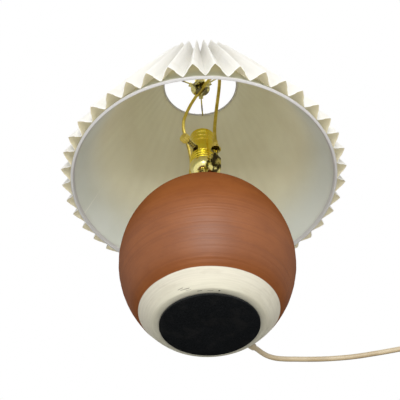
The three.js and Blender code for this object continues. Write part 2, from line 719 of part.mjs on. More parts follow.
// Screw shell that takes the bulb: a thin cup with a rolled thread and an eye in its floor
function screwShell() {
  const bottomZ = interiorTopZ + GAP;
  const topZ = shellTopZ - SCREW_SHELL_TOP_DROP;
  const pitch = (topZ - bottomZ) / (SCREW_THREAD_COUNT + 1);
  const threadHeights = Array.from({ length: SCREW_THREAD_COUNT }, (_, i) => bottomZ + (i + 1) * pitch);
  const wave = threadHeights.flatMap((z) => [
    [SCREW_SHELL_RADIUS, z - pitch / 4],
    [SCREW_SHELL_RADIUS - SCREW_THREAD_DEPTH, z + pitch / 4],
  ]);
  const outside = [[SCREW_SHELL_RADIUS, bottomZ], ...wave, [SCREW_SHELL_RADIUS, topZ]];
  const inside = outside.slice(1).map(([r, z]) => [r - SCREW_SHELL_WALL, z]).reverse();
  const floor = [
    [SCREW_SHELL_RADIUS - SCREW_SHELL_WALL, bottomZ + SCREW_SHELL_WALL],
    [SCREW_SHELL_EYE_RADIUS, bottomZ + SCREW_SHELL_WALL],
    [SCREW_SHELL_EYE_RADIUS, bottomZ],
  ];
  return lathe([...outside, ...inside, ...floor], BRASS_FACETS);
}

// Contact button in the eye of the screw shell
function centreContact() {
  const base = interiorTopZ + GAP;
  const outline = scaled(CONTACT_OUTLINE_SHARES, CONTACT_RADIUS, CONTACT_HEIGHT, base);
  return lathe([[0, base], ...outline, [0, base + CONTACT_HEIGHT]], SMALL_FACETS);
}

// Slotted set screw in the cap's hub
function setScrew() {
  const start = CAP_HUB_RADIUS + GAP;
  const head = barAlongX(SET_SCREW_HEAD_RADIUS, start, start + SET_SCREW_HEAD_LENGTH, SMALL_FACETS);
  const slotDepth = SET_SCREW_HEAD_LENGTH / 2;
  const slot = new THREE.BoxGeometry(slotDepth, SET_SCREW_SLOT_WIDTH, 3 * SET_SCREW_HEAD_RADIUS);
  const slotted = cut(head, slot.translate(start + SET_SCREW_HEAD_LENGTH, 0, 0));
  return slotted.translate(0, 0, capZ + SET_SCREW_HEIGHT_SHARE * CAP_HUB_HEIGHT);
}

// Ribbed shaft of the switch, turned about X
function knobShaft() {
  const ribsStart = SHELL_RADIUS + SHELL_RIB_RISE + GAP;
  const end = KNOB_REACH - KNOB_LENGTH / 2;
  const pitch = (KNOB_REACH - KNOB_LENGTH - GAP - ribsStart) / SHAFT_RIB_COUNT;
  const ribs = Array.from({ length: SHAFT_RIB_COUNT }, (_, i) => ribsStart + i * pitch).flatMap((x) => [
    [SHAFT_RADIUS - SHAFT_RIB_DEPTH, x],
    [SHAFT_RADIUS, x + pitch / 3],
    [SHAFT_RADIUS, x + (2 * pitch) / 3],
  ]);
  const ribsEnd = KNOB_REACH - KNOB_LENGTH - GAP;
  const outline = [
    [0, SHAFT_INNER_END],
    [SHAFT_ROOT_RADIUS, SHAFT_INNER_END],
    [SHAFT_ROOT_RADIUS, INTERIOR_RADIUS + GAP],
    [SHAFT_RADIUS - SHAFT_RIB_DEPTH, INTERIOR_RADIUS + 2 * GAP],
    ...ribs,
    [SHAFT_RADIUS - SHAFT_RIB_DEPTH, ribsEnd],
    [SHAFT_ROOT_RADIUS, ribsEnd],
    [SHAFT_ROOT_RADIUS, end],
    [0, end],
  ];
  return lathe(outline, SMALL_FACETS).rotateY(Math.PI / 2).translate(0, 0, knobZ);
}

// Fluted knob with a domed end and a blind hole for the shaft
function turnKnob() {
  const start = KNOB_REACH - KNOB_LENGTH;
  const body = lathe(
    [
      [0, start],
      [KNOB_RADIUS - GAP, start],
      [KNOB_RADIUS, start + KNOB_LENGTH / 4],
      [KNOB_RADIUS, start + (3 * KNOB_LENGTH) / 4],
      [KNOB_RADIUS - KNOB_FLUTE_RADIUS, KNOB_REACH],
      [0, KNOB_REACH],
    ],
    2 * KNOB_FLUTES,
  );
  const hole = lathe(
    [
      [0, start - CUT_OVERRUN],
      [SHAFT_ROOT_RADIUS + GAP, start - CUT_OVERRUN],
      [SHAFT_ROOT_RADIUS + GAP, KNOB_REACH - KNOB_LENGTH / 2 + GAP],
      [0, KNOB_REACH - KNOB_LENGTH / 2 + GAP],
    ],
    SMALL_FACETS,
  );
  const flutes = Array.from({ length: KNOB_FLUTES }, (_, i) => {
    const angle = (2 * Math.PI * (i + 1 / 2)) / KNOB_FLUTES;
    const radius = KNOB_RADIUS + KNOB_FLUTE_RADIUS / 3;
    return new THREE.CylinderGeometry(KNOB_FLUTE_RADIUS, KNOB_FLUTE_RADIUS, 3 * KNOB_LENGTH, 6)
      .rotateX(Math.PI / 2)
      .translate(radius * Math.cos(angle), radius * Math.sin(angle), start);
  });
  return cut(body, hole, ...flutes).rotateY(Math.PI / 2).translate(0, 0, knobZ);
}

// Smooth liner, a thin cone from the bottom edge to the top edge
function shadeLiner() {
  const outline = [
    shadePoint(0, 0),
    shadePoint(0, LINER_THICKNESS),
    shadePoint(shadeSlant, LINER_THICKNESS),
    shadePoint(shadeSlant, 0),
  ];
  return lathe(outline, SHADE_FACETS);
}

// Ring wire inside the liner, at a distance up the slant
function ringWire(s) {
  const [r, z] = shadePoint(s, -GAP - RING_WIRE_RADIUS);
  return new THREE.TorusGeometry(r, RING_WIRE_RADIUS, 6, SHADE_FACETS).translate(0, 0, z);
}

// Level out of the liner of the trim's inner face
function trimInnerLevel() {
  return -2 * GAP - 2 * RING_WIRE_RADIUS - TRIM_WALL;
}

// Rolled trim round an edge: a channel over the ring wire and the liner, its legs along the slant
function edgeTrim(edge, direction) {
  const inner = trimInnerLevel() + TRIM_WALL;
  const outer = LINER_THICKNESS + GAP;
  const outline = [
    [TRIM_LEG, inner],
    [-GAP, inner],
    [-GAP, outer],
    [TRIM_LEG, outer],
    [TRIM_LEG, outer + TRIM_WALL],
    [-GAP - TRIM_WALL, outer + TRIM_WALL / 2],
    [-GAP - TRIM_WALL, inner - TRIM_WALL / 2],
    [TRIM_LEG, inner - TRIM_WALL],
  ];
  return lathe(outline.map(([s, n]) => shadePoint(edge + direction * s, n)), SHADE_FACETS);
}

// Level out of the liner at which the cover's inner folds lie
function innerFoldLevel() {
  return LINER_THICKNESS + GAP + TRIM_WALL + GAP;
}

// Depth of the pleats at a distance up the slant, from the constant width of a panel
function pleatDepth(s) {
  const [foldRadius] = shadePoint(s, innerFoldLevel());
  const bend = 1 - Math.cos(Math.PI / PLEATS);
  const half = foldRadius * shadeCos * bend;
  return Math.sqrt(half ** 2 - 2 * foldRadius ** 2 * bend + PLEAT_PANEL_WIDTH ** 2) - half;
}

// Pleated cover: inner and outer folds turn by turn, as one closed sheet of even thickness
function pleatedCover() {
  const levels = [0, shadeSlant + PLEAT_TOP_OVERHANG];
  const count = 2 * PLEATS;
  const corner = (s, fold, isOuterFace) => {
    const base = innerFoldLevel();
    const [foldRadius] = shadePoint(s, base);
    const shift = (PLEAT_CLOTH_THICKNESS * PLEAT_PANEL_WIDTH * PLEATS) / (Math.PI * foldRadius);
    const depth = fold % 2 === 0 ? 0 : pleatDepth(s) - shift;
    const [r, z] = shadePoint(s, base + depth + (isOuterFace ? shift : 0));
    const angle = PLEAT_PHASE + (Math.PI * fold) / PLEATS;
    return [r * Math.cos(angle), r * Math.sin(angle), z];
  };
  const positions = [];
  for (let fold = 0; fold < count; fold += 1) {
    for (const s of levels) {
      positions.push(...corner(s, fold, false), ...corner(s, fold, true));
    }
  }
  const index = [];
  const quad = (a, b, c, d) => index.push(a, b, c, a, c, d);
  for (let fold = 0; fold < count; fold += 1) {
    const here = 4 * fold;
    const next = 4 * ((fold + 1) % count);
    const [innerLow, outerLow, innerHigh, outerHigh] = [0, 1, 2, 3];
    quad(here + outerLow, next + outerLow, next + outerHigh, here + outerHigh);
    quad(here + innerLow, here + innerHigh, next + innerHigh, next + innerLow);
    quad(here + innerLow, next + innerLow, next + outerLow, here + outerLow);
    quad(here + outerHigh, next + outerHigh, next + innerHigh, here + innerHigh);
  }
  const geometry = new THREE.BufferGeometry();
  geometry.setAttribute('position', new THREE.Float32BufferAttribute(positions, 3));
  geometry.setIndex(index);
  return geometry;
}

// Azimuths of the spider's arms
function spiderAzimuths() {
  const step = (2 * Math.PI) / SPIDER_ARM_COUNT;
  return Array.from({ length: SPIDER_ARM_COUNT }, (_, i) => SPIDER_AZIMUTH + i * step);
}

// Hub plate with an ear under each arm and the hole for the stud
function spiderHub() {
  const disc = plate(circleShape(SPIDER_HUB_RADIUS, BRASS_FACETS), SPIDER_HUB_THICKNESS);
  const ears = spiderAzimuths().map((azimuth) => {
    const length = SPIDER_EAR_REACH;
    return new THREE.BoxGeometry(length, 2 * SPIDER_EAR_HALF_WIDTH, SPIDER_HUB_THICKNESS)
      .translate(length / 2, 0, SPIDER_HUB_THICKNESS / 2)
      .rotateZ(azimuth);
  });
  const radius = SPIDER_HOLE_RADIUS;
  const hole = new THREE.CylinderGeometry(radius, radius, 2 * CUT_OVERRUN, SMALL_FACETS);
  return cut(join(disc, ...ears), hole.rotateX(Math.PI / 2)).translate(0, 0, spiderHubZ);
}

// Spider arm along X: flat over its ear, then bent up to the top ring wire
function spiderArm() {
  const [, ringZ] = shadePoint(shadeSlant - RING_INSET, -GAP - RING_WIRE_RADIUS);
  const [end] = shadePoint(shadeSlant - TRIM_LEG, trimInnerLevel() - GAP - SPIDER_ARM_RADIUS);
  const startZ = spiderHubTopZ + GAP + SPIDER_ARM_RADIUS;
  const knee = SPIDER_ARM_INNER + SPIDER_ARM_LEVEL_SHARE * (end - SPIDER_ARM_INNER);
  const path = new THREE.CatmullRomCurve3([
    new THREE.Vector3(SPIDER_ARM_INNER, 0, startZ),
    new THREE.Vector3((SPIDER_ARM_INNER + knee) / 2, 0, startZ),
    new THREE.Vector3(knee, 0, startZ),
    new THREE.Vector3(end - 2 * SPIDER_ARM_RADIUS, 0, ringZ - SPIDER_ARM_RADIUS),
    new THREE.Vector3(end, 0, ringZ - SPIDER_ARM_RADIUS),
  ]);
  return bar(path, SPIDER_ARM_RADIUS, WIRE_FACETS, 10);
}

// Point and heading of the coil's path after a number of turns, clockwise seen from above
function coilPoint(turns) {
  const fromMiddle = turns - COIL_TURNS / 2;
  const radius = COIL_INNER_RADIUS + COIL_SPACING * Math.abs(fromMiddle);
  const angle = COIL_START_AZIMUTH - 2 * Math.PI * turns;
  const climb = THREE.MathUtils.clamp(2 * fromMiddle + 1 / 2, 0, 1);
  return new THREE.Vector3(
    COIL_CENTRE[0] + radius * Math.cos(angle),
    COIL_CENTRE[1] + radius * Math.sin(angle),
    coilLowZ + COIL_SPACING * climb,
  );
}

// Coil path: a straight end, the spiral in, the climb, the spiral out and a straight end
function coilPath() {
  const steps = Math.round(COIL_TURNS * COIL_STEPS_PER_TURN);
  const spiral = Array.from({ length: steps + 1 }, (_, i) => coilPoint((COIL_TURNS * i) / steps));
  const straight = 2 * CORD_RADIUS;
  const extend = (from, to) => to.clone().add(to.clone().sub(from).setZ(0).setLength(straight));
  const start = extend(spiral[1], spiral[0]);
  const end = extend(spiral[steps - 1], spiral[steps]);
  return [start, ...spiral, end];
}

// Closed tube through every point of a path, square to it at each, with flat ends
function tubeThrough(path, radius, sides) {
  const positions = [];
  const up = new THREE.Vector3(0, 0, 1);
  path.forEach((point, i) => {
    const before = path[Math.max(i - 1, 0)];
    const after = path[Math.min(i + 1, path.length - 1)];
    const along = after.clone().sub(before).normalize();
    const across = new THREE.Vector3().crossVectors(up, along).normalize();
    const rise = new THREE.Vector3().crossVectors(along, across);
    for (let side = 0; side < sides; side += 1) {
      const angle = (2 * Math.PI * side) / sides;
      const corner = point.clone()
        .addScaledVector(across, radius * Math.cos(angle))
        .addScaledVector(rise, radius * Math.sin(angle));
      positions.push(corner.x, corner.y, corner.z);
    }
  });
  const index = [];
  for (let i = 0; i + 1 < path.length; i += 1) {
    for (let side = 0; side < sides; side += 1) {
      const a = i * sides + side;
      const b = i * sides + ((side + 1) % sides);
      index.push(a, b, b + sides, a, b + sides, a + sides);
    }
  }
  const last = (path.length - 1) * sides;
  for (let side = 1; side + 1 < sides; side += 1) {
    index.push(0, side + 1, side, last, last + side, last + side + 1);
  }
  const geometry = new THREE.BufferGeometry();
  geometry.setAttribute('position', new THREE.Float32BufferAttribute(positions, 3));
  geometry.setIndex(index);
  return geometry;
}

// Least gap between the coil's turns, from points at least half a turn apart
function leastCoilGap(path) {
  let least = Infinity;
  for (let i = 0; i < path.length; i += 1) {
    for (let j = i + COIL_STEPS_PER_TURN / 2; j + 1 < path.length; j += 1) {
      const stretch = new THREE.Line3(path[j], path[j + 1]);
      const nearest = stretch.closestPointToPoint(path[i], true, new THREE.Vector3());
      least = Math.min(least, nearest.distanceTo(path[i]));
    }
  }
  return least - 2 * CORD_RADIUS;
}

// Free stretch of cord through its route's points
function freeCord(points, steps) {
  const route = new THREE.CatmullRomCurve3(points, false, 'centripetal');
  return bar(route, CORD_RADIUS, WIRE_FACETS, steps);
}

// Two points on from the end of a straight stretch: one at the gap, and one a cord's diameter further
function leadOut(from, end) {
  const along = end.clone().sub(from).normalize();
  return [GAP, 2 * CORD_RADIUS].map((distance) => end.clone().addScaledVector(along, distance));
}

// Tie: a flat band round both layers of the coil, in a frame with X out from the coil's centre
function cordTie() {
  const inner = COIL_INNER_RADIUS - CORD_RADIUS - TIE_CLEARANCE;
  const outer = coilOuterRadius + CORD_RADIUS + TIE_CLEARANCE;
  const width = outer - inner;
  const height = COIL_SPACING + 2 * (CORD_RADIUS + GAP);
  const band = roundedRectangle(width + 2 * TIE_THICKNESS, height + 2 * TIE_THICKNESS, TIE_CORNER);
  band.holes.push(roundedRectangle(width, height, TIE_CORNER - TIE_THICKNESS, THREE.Path));
  const centreX = (inner + outer) / 2;
  const centreZ = height / 2 + TIE_THICKNESS;
  return plate(band, TIE_WIDTH, 4).rotateX(Math.PI / 2).translate(centreX, TIE_WIDTH / 2, centreZ);
}

// Plug body along X: a rounded block with a waisted grip
function plugBody() {
  const half = PLUG_WIDTH / 2;
  const waist = half * PLUG_WAIST_SHARE;
  const outline = new THREE.Shape();
  outline.moveTo(0, -waist);
  outline.quadraticCurveTo(PLUG_LENGTH / 3, -waist, PLUG_LENGTH / 2, -half);
  outline.lineTo(PLUG_LENGTH - PLUG_CORNER, -half);
  outline.absarc(PLUG_LENGTH - PLUG_CORNER, PLUG_CORNER - half, PLUG_CORNER, -Math.PI / 2, 0);
  outline.absarc(PLUG_LENGTH - PLUG_CORNER, half - PLUG_CORNER, PLUG_CORNER, 0, Math.PI / 2);
  outline.lineTo(PLUG_LENGTH / 2, half);
  outline.quadraticCurveTo(PLUG_LENGTH / 3, waist, 0, waist);
  const slab = plate(outline, PLUG_THICKNESS, 5).translate(0, 0, -PLUG_THICKNESS / 2);
  const section = plate(roundedRectangle(PLUG_WIDTH, PLUG_THICKNESS, PLUG_CORNER), PLUG_LENGTH, 5);
  return common(slab, section.rotateX(Math.PI / 2).rotateZ(Math.PI / 2));
}

// Grooved strain relief along X, tapering away from the plug
function plugRelief() {
  const radiusAt = (share) => RELIEF_END_RADIUS + share * (RELIEF_ROOT_RADIUS - RELIEF_END_RADIUS);
  const grooves = RELIEF_GROOVE_SHARES.flatMap((share) => {
    const x = share * RELIEF_LENGTH;
    const floor = radiusAt(share) - RELIEF_GROOVE_DEPTH;
    return [
      [radiusAt(share), x],
      [floor, x + RELIEF_GROOVE_WIDTH / 4],
      [floor, x + (3 * RELIEF_GROOVE_WIDTH) / 4],
      [radiusAt(share), x + RELIEF_GROOVE_WIDTH],
    ];
  });
  const outline = [
    [0, 0],
    [RELIEF_END_RADIUS, 0],
    ...grooves,
    [RELIEF_ROOT_RADIUS, RELIEF_LENGTH],
    [0, RELIEF_LENGTH],
  ];
  return lathe(outline, SMALL_FACETS).rotateY(Math.PI / 2);
}

// One flat blade of the plug
function plugBlade(side) {
  return new THREE.BoxGeometry(PLUG_BLADE_LENGTH, PLUG_BLADE_THICKNESS, PLUG_BLADE_WIDTH)
    .translate(PLUG_LENGTH + GAP + PLUG_BLADE_LENGTH / 2, (side * PLUG_BLADE_SPACING) / 2, 0);
}

// Base: body, foot, pipe and everything fixed along it
function buildBase(lamp) {
  place(lamp, 'ceramic_body', ceramicBody(), terracotta);
  const felt = ring(FELT_RADIUS, 0, 0, FELT_THICKNESS, BODY_FACETS);
  const washer = ring(WASHER_RADIUS, PIPE_RADIUS + GAP, washerZ, WASHER_THICKNESS, BRASS_FACETS);
  const pipe = ring(PIPE_RADIUS, PIPE_BORE_RADIUS, pipeZ, domeZ - pipeZ, SMALL_FACETS);
  place(lamp, 'felt_pad', felt, blackFelt);
  place(lamp, 'base_washer', washer, zincSteel);
  place(lamp, 'base_nut', pipeNut(baseNutZ), zincSteel);
  place(lamp, 'lamp_pipe', pipe, zincSteel);
  place(lamp, 'vase_cap', vaseCap(), polishedBrass);
  place(lamp, 'neck', neck(), polishedBrass);
  place(lamp, 'lock_nut', pipeNut(lockNutZ), polishedBrass);
  place(lamp, 'cord_bushing', cordBushing(), ivoryCord);
  place(lamp, 'inner_cord', innerCord(), ivoryCord);
}

// Socket: every piece about the pipe's axis, with the knob's shaft along the group's +X
function buildSocket(lamp) {
  const socket = new THREE.Group();
  socket.rotation.z = KNOB_AZIMUTH;
  place(socket, 'socket_cap', socketCap(), polishedBrass);
  place(socket, 'socket_shell', socketShell(), polishedBrass);
  place(socket, 'insulating_sleeve', insulatingSleeve(), fibreboard);
  place(socket, 'socket_interior', socketInterior(), phenolic);
  place(socket, 'screw_shell', screwShell(), polishedBrass);
  place(socket, 'centre_contact', centreContact(), polishedBrass);
  place(socket, 'knob_shaft', knobShaft(), tanBrass);
  place(socket, 'turn_knob', turnKnob(), tanBrass);
  place(socket, 'set_screw', setScrew(), polishedBrass).rotation.z = SET_SCREW_AZIMUTH;
  lamp.add(socket);
}

// Harp: saddle, wire, ferrules and stud in the harp's plane, which is the group's XZ
function buildHarp(lamp) {
  const harp = new THREE.Group();
  harp.rotation.z = HARP_AZIMUTH;
  place(harp, 'harp_saddle', saddle(), darkBrass);
  place(harp, 'harp_wire', bar(harpCurve(), HARP_WIRE_RADIUS, WIRE_FACETS, 44), tanBrass);
  place(harp, 'ferrule_near', ferrule(), tanBrass).position.x = SADDLE_HALF_SPREAD;
  place(harp, 'ferrule_far', ferrule(), tanBrass).position.x = -SADDLE_HALF_SPREAD;
  place(harp, 'harp_stud', harpStud(), darkBrass);
  place(harp, 'finial', finial(), polishedBrass);
  lamp.add(harp);
}

// Shade: spider, ring wires, liner, trims and pleated cover
function buildShade(lamp) {
  place(lamp, 'spider_hub', spiderHub(), darkBrass);
  spiderAzimuths().forEach((azimuth, i) => {
    place(lamp, `spider_arm_${i + 1}`, spiderArm(), darkBrass).rotation.z = azimuth;
  });
  place(lamp, 'top_ring_wire', ringWire(shadeSlant - RING_INSET), enamelledWire);
  place(lamp, 'bottom_ring_wire', ringWire(RING_INSET), enamelledWire);
  place(lamp, 'shade_liner', shadeLiner(), ivoryLiner);
  place(lamp, 'top_trim', edgeTrim(shadeSlant, -1), whiteTrim);
  place(lamp, 'bottom_trim', edgeTrim(0, 1), whiteTrim);
  place(lamp, 'pleated_cover', pleatedCover(), whiteCloth);
}

// Cord: the run along the table, the tied coil, the tail and the plug
function buildCord(lamp) {
  const path = coilPath();
  const gap = leastCoilGap(path);
  console.log(`coil: ${COIL_TURNS} turns, least gap between turns ${gap.toFixed(2)} mm`);
  place(lamp, 'cord_coil', tubeThrough(path, CORD_RADIUS, 6), ivoryCord);

  const run = CORD_RUN_ROUTE.map((p) => new THREE.Vector3(...p));
  run.push(...leadOut(path[1], path[0]).reverse());
  place(lamp, 'cord_run', freeCord(run, 36), ivoryCord);

  const last = path.length - 1;
  const tail = leadOut(path[last - 1], path[last]);
  tail.push(...CORD_TAIL_ROUTE.map((p) => new THREE.Vector3(...p)));
  const [beforeLast, lastChosen] = tail.slice(-2);
  const heading = lastChosen.clone().sub(beforeLast).setZ(0).normalize();
  const tailEnd = lastChosen.clone().addScaledVector(heading, 2 * CORD_RADIUS).setZ(PLUG_AXIS_Z);
  const reliefStart = tailEnd.clone().addScaledVector(heading, 2 * CORD_RADIUS);
  place(lamp, 'cord_tail', freeCord([...tail, tailEnd, reliefStart], 20), ivoryCord);

  const tie = place(lamp, 'cord_tie', cordTie(), ivoryCord);
  tie.position.set(...COIL_CENTRE, 0);
  tie.rotation.z = TIE_AZIMUTH;

  const plug = new THREE.Group();
  plug.position.copy(reliefStart.clone().addScaledVector(heading, GAP));
  plug.rotation.z = Math.atan2(heading.y, heading.x);
  place(plug, 'plug_relief', plugRelief(), ivoryCord);
  const front = new THREE.Group();
  front.position.x = RELIEF_LENGTH + GAP;
  place(front, 'plug_body', plugBody(), ivoryCord);
  place(front, 'plug_blade_1', plugBlade(1), nickel);
  place(front, 'plug_blade_2', plugBlade(-1), nickel);
  plug.add(front);
  lamp.add(plug);
}

const lamp = new THREE.Group();
buildBase(lamp);
buildSocket(lamp);
buildHarp(lamp);
buildShade(lamp);
buildCord(lamp);

export default lamp;
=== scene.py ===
import math

import bmesh
import bpy
import numpy as np
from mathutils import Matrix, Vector


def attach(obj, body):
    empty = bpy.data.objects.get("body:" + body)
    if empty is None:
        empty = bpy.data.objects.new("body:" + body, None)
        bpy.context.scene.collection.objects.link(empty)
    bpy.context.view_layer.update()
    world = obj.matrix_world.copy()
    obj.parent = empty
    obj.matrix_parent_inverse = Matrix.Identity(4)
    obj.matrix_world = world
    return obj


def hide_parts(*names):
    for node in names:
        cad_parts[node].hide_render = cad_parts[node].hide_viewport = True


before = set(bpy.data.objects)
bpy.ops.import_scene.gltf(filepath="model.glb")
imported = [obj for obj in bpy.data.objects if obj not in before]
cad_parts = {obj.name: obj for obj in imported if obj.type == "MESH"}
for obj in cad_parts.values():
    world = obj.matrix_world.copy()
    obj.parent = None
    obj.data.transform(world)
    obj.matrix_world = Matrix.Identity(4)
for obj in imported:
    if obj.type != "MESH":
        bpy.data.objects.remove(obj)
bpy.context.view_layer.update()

# Camera
# Looks up at the lamp from in front of it and below the table, as in the photograph, with the whole
# lamp in view and its cord leaving at the right edge.
CAMERA_PLACE = (0.0, -0.65626, -0.47871)
CAMERA_TURN_DEGREES = (136.0415, 1.3207, 1.9135)
CAMERA_SENSOR = 36.0
CAMERA_LENS = 65.389
CAMERA_NEAREST = 0.01


def added(name, data):
    """An object with its data, put in the scene."""
    made = bpy.data.objects.new(name, data)
    bpy.context.scene.collection.objects.link(made)
    return made


camera = added("camera", bpy.data.cameras.new("camera"))
camera.data.sensor_fit = "HORIZONTAL"
camera.data.sensor_width = CAMERA_SENSOR
camera.data.lens = CAMERA_LENS
camera.data.clip_start = CAMERA_NEAREST
camera.location = CAMERA_PLACE
camera.rotation_euler = [math.radians(angle) for angle in CAMERA_TURN_DEGREES]
bpy.context.scene.camera = camera

# Supply cord
# A round ivory vinyl mains cord, 6 mm thick and 1.75 m long. It comes out of the back of the foot,
# runs along the table, is wound into a tied coil and ends in its plug. The routes are in millimetres.
CORD_RADIUS = 3.0
CORD_RUN = [
    (50.9, 55.5, 8.5), (54.8, 59.7, 8.2), (59.5, 63.4, 6.4), (66.3, 67.3, 4.3), (75.5, 70.7, 3.1),
    (87, 73.1, 3), (98.1, 74.1, 3), (114, 75.4, 3), (130.2, 76.1, 3), (146, 75.7, 3),
    (161.9, 74.4, 3), (175, 72.4, 3), (187, 69.8, 3), (203, 66, 3), (219.6, 61.7, 3),
    (236, 58.2, 3), (252, 54.8, 3.1), (266, 51.9, 3.6),
]
CORD_TAIL = np.array([
    (324.4, -27, 10), (320, -38.6, 8.6), (312.5, -48.2, 7.6), (303, -53.7, 7.3), (296, -55.4, 7.4),
])
COIL_CENTRE = (282.0, 1.5)
COIL_START_AZIMUTH = math.radians(78)
COIL_INNER_RADIUS = 26.0
COIL_SPACING = 6.5
COIL_TURNS = 6.25
COIL_STEPS_PER_TURN = 24
COIL_LOW_Z = 4.1
PLUG_AXIS_Z = 7.5


def unit(vector):
    """The vector divided by its length."""
    return vector / np.linalg.norm(vector, axis=-1, keepdims=True)


def flowing(points, steps=8):
    """Smooth line through points by the Catmull-Rom cubic of each four neighbours."""
    known = np.asarray(points, float)
    padded = np.vstack([2 * known[0] - known[1], known, 2 * known[-1] - known[-2]])
    p0, p1, p2, p3 = (padded[i : len(padded) - 3 + i, None] for i in range(4))
    t = np.linspace(0, 1, steps, endpoint=False)[None, :, None]
    square = (2 * p0 - 5 * p1 + 4 * p2 - p3) * t**2
    cube = (3 * p1 - p0 - 3 * p2 + p3) * t**3
    cubic = 2 * p1 + (p2 - p0) * t + square + cube
    return np.vstack([cubic.reshape(-1, known.shape[1]) / 2, known[-1]])


def arc(radius, angle):
    """Points of a circle, or of an ellipse where the radius is a pair of half axes, at angles."""
    return radius * np.stack([np.cos(angle), np.sin(angle)], axis=-1)


def coil_spiral():
    """Radius falls with the turns to the middle one and grows again; the height steps up a layer there."""
    turns = np.linspace(0, COIL_TURNS, round(COIL_TURNS * COIL_STEPS_PER_TURN) + 1)
    from_middle = turns - COIL_TURNS / 2
    radius = COIL_INNER_RADIUS + COIL_SPACING * np.abs(from_middle[:, None])
    seen_from_above = COIL_CENTRE + arc(radius, COIL_START_AZIMUTH - 2 * np.pi * turns)
    height = COIL_LOW_Z + COIL_SPACING * np.clip(2 * from_middle + 0.5, 0, 1)
    return np.insert(seen_from_above, 2, height, axis=1)


spiral = coil_spiral()
level = np.array([1.0, 1.0, 0.0])
lead_in = unit((spiral[0] - spiral[1]) * level)
lead_out = unit((spiral[-1] - spiral[-2]) * level)
straight = 2 * CORD_RADIUS
tail_heading = unit((CORD_TAIL[-1] - CORD_TAIL[-2]) * level)
tail_end = np.append((CORD_TAIL[-1] + straight * tail_heading)[:2], PLUG_AXIS_Z)
relief_start = tail_end + straight * tail_heading
cord_route = np.vstack([
    CORD_RUN,
    spiral[0] + 2 * straight * lead_in,
    spiral[0] + straight * lead_in,
    spiral,
    spiral[-1] + straight * lead_out,
    spiral[-1] + 2 * straight * lead_out,
    CORD_TAIL,
    tail_end,
    relief_start,
])

cord_curve = bpy.data.curves.new("cord", "CURVE")
cord_curve.dimensions = "3D"
cord_curve.bevel_depth = 1.0
cord_curve.bevel_resolution = 6
cord_curve.use_fill_caps = True
cord_line = cord_curve.splines.new("POLY")
cord_points = flowing(cord_route, 5) / 1000
cord_line.points.add(len(cord_points) - 1)
cord_line.points.foreach_set("co", np.append(cord_points, np.ones((len(cord_points), 1)), axis=1).ravel())
cord_line.points.foreach_set("radius", np.full(len(cord_points), CORD_RADIUS / 1000))
cord = added("cord", cord_curve)
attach(cord, "base")
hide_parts("cord_run", "cord_coil", "cord_tail")


class Level:
    """A value that varies over a surface; arithmetic on it adds Math nodes."""

    def __init__(self, tree, socket):
        self.tree = tree
        self.socket = socket

    def maths(self, operation, *values):
        """The result of one Math node on the values."""
        return self.tree.node("ShaderNodeMath", dict(enumerate(values)), operation=operation)

    def __add__(self, other):
        return self.maths("ADD", self, other)

    def __sub__(self, other):
        return self.maths("SUBTRACT", self, other)

    def __rsub__(self, other):
        return self.maths("SUBTRACT", other, self)

    def __mul__(self, other):
        return self.maths("MULTIPLY", self, other)

    def __abs__(self):
        return self.maths("ABSOLUTE", self)

    __radd__ = __add__

    def above(self, edge, softness):
        """Rises from 0 to 1 over softness, centred on edge."""
        ramp = {"Value": self, "From Min": edge - softness / 2, "From Max": edge + softness / 2}
        return self.tree.node("ShaderNodeMapRange", ramp, interpolation_type="SMOOTHSTEP")


class Tree:
    """A node tree, with one way to add a node to it and one to fill a socket."""

    def __init__(self, owner):
        owner.use_nodes = True
        self.nodes = owner.node_tree.nodes
        self.links = owner.node_tree.links

    def fill(self, socket, value):
        """Links a level to a socket, or writes a plain value on it."""
        if isinstance(value, Level):
            self.links.new(value.socket, socket)
        else:
            socket.default_value = value

    def node(self, kind, inputs, output=0, **settings):
        """Adds a node, fills its settings and sockets and gives one of its outputs."""
        node = self.nodes.new(kind)
        for name, value in settings.items():
            setattr(node, name, value)
        for name, value in inputs.items():
            self.fill(node.inputs[name], value)
        return Level(self, node.outputs[output])


def paint(red, green, blue):
    """A screen colour from 0 to 255 as the linear colour that nodes take."""
    share = np.array([red, green, blue]) / 255
    linear = np.where(share <= 0.04045, share / 12.92, ((share + 0.055) / 1.055) ** 2.4)
    return (*linear.tolist(), 1.0)


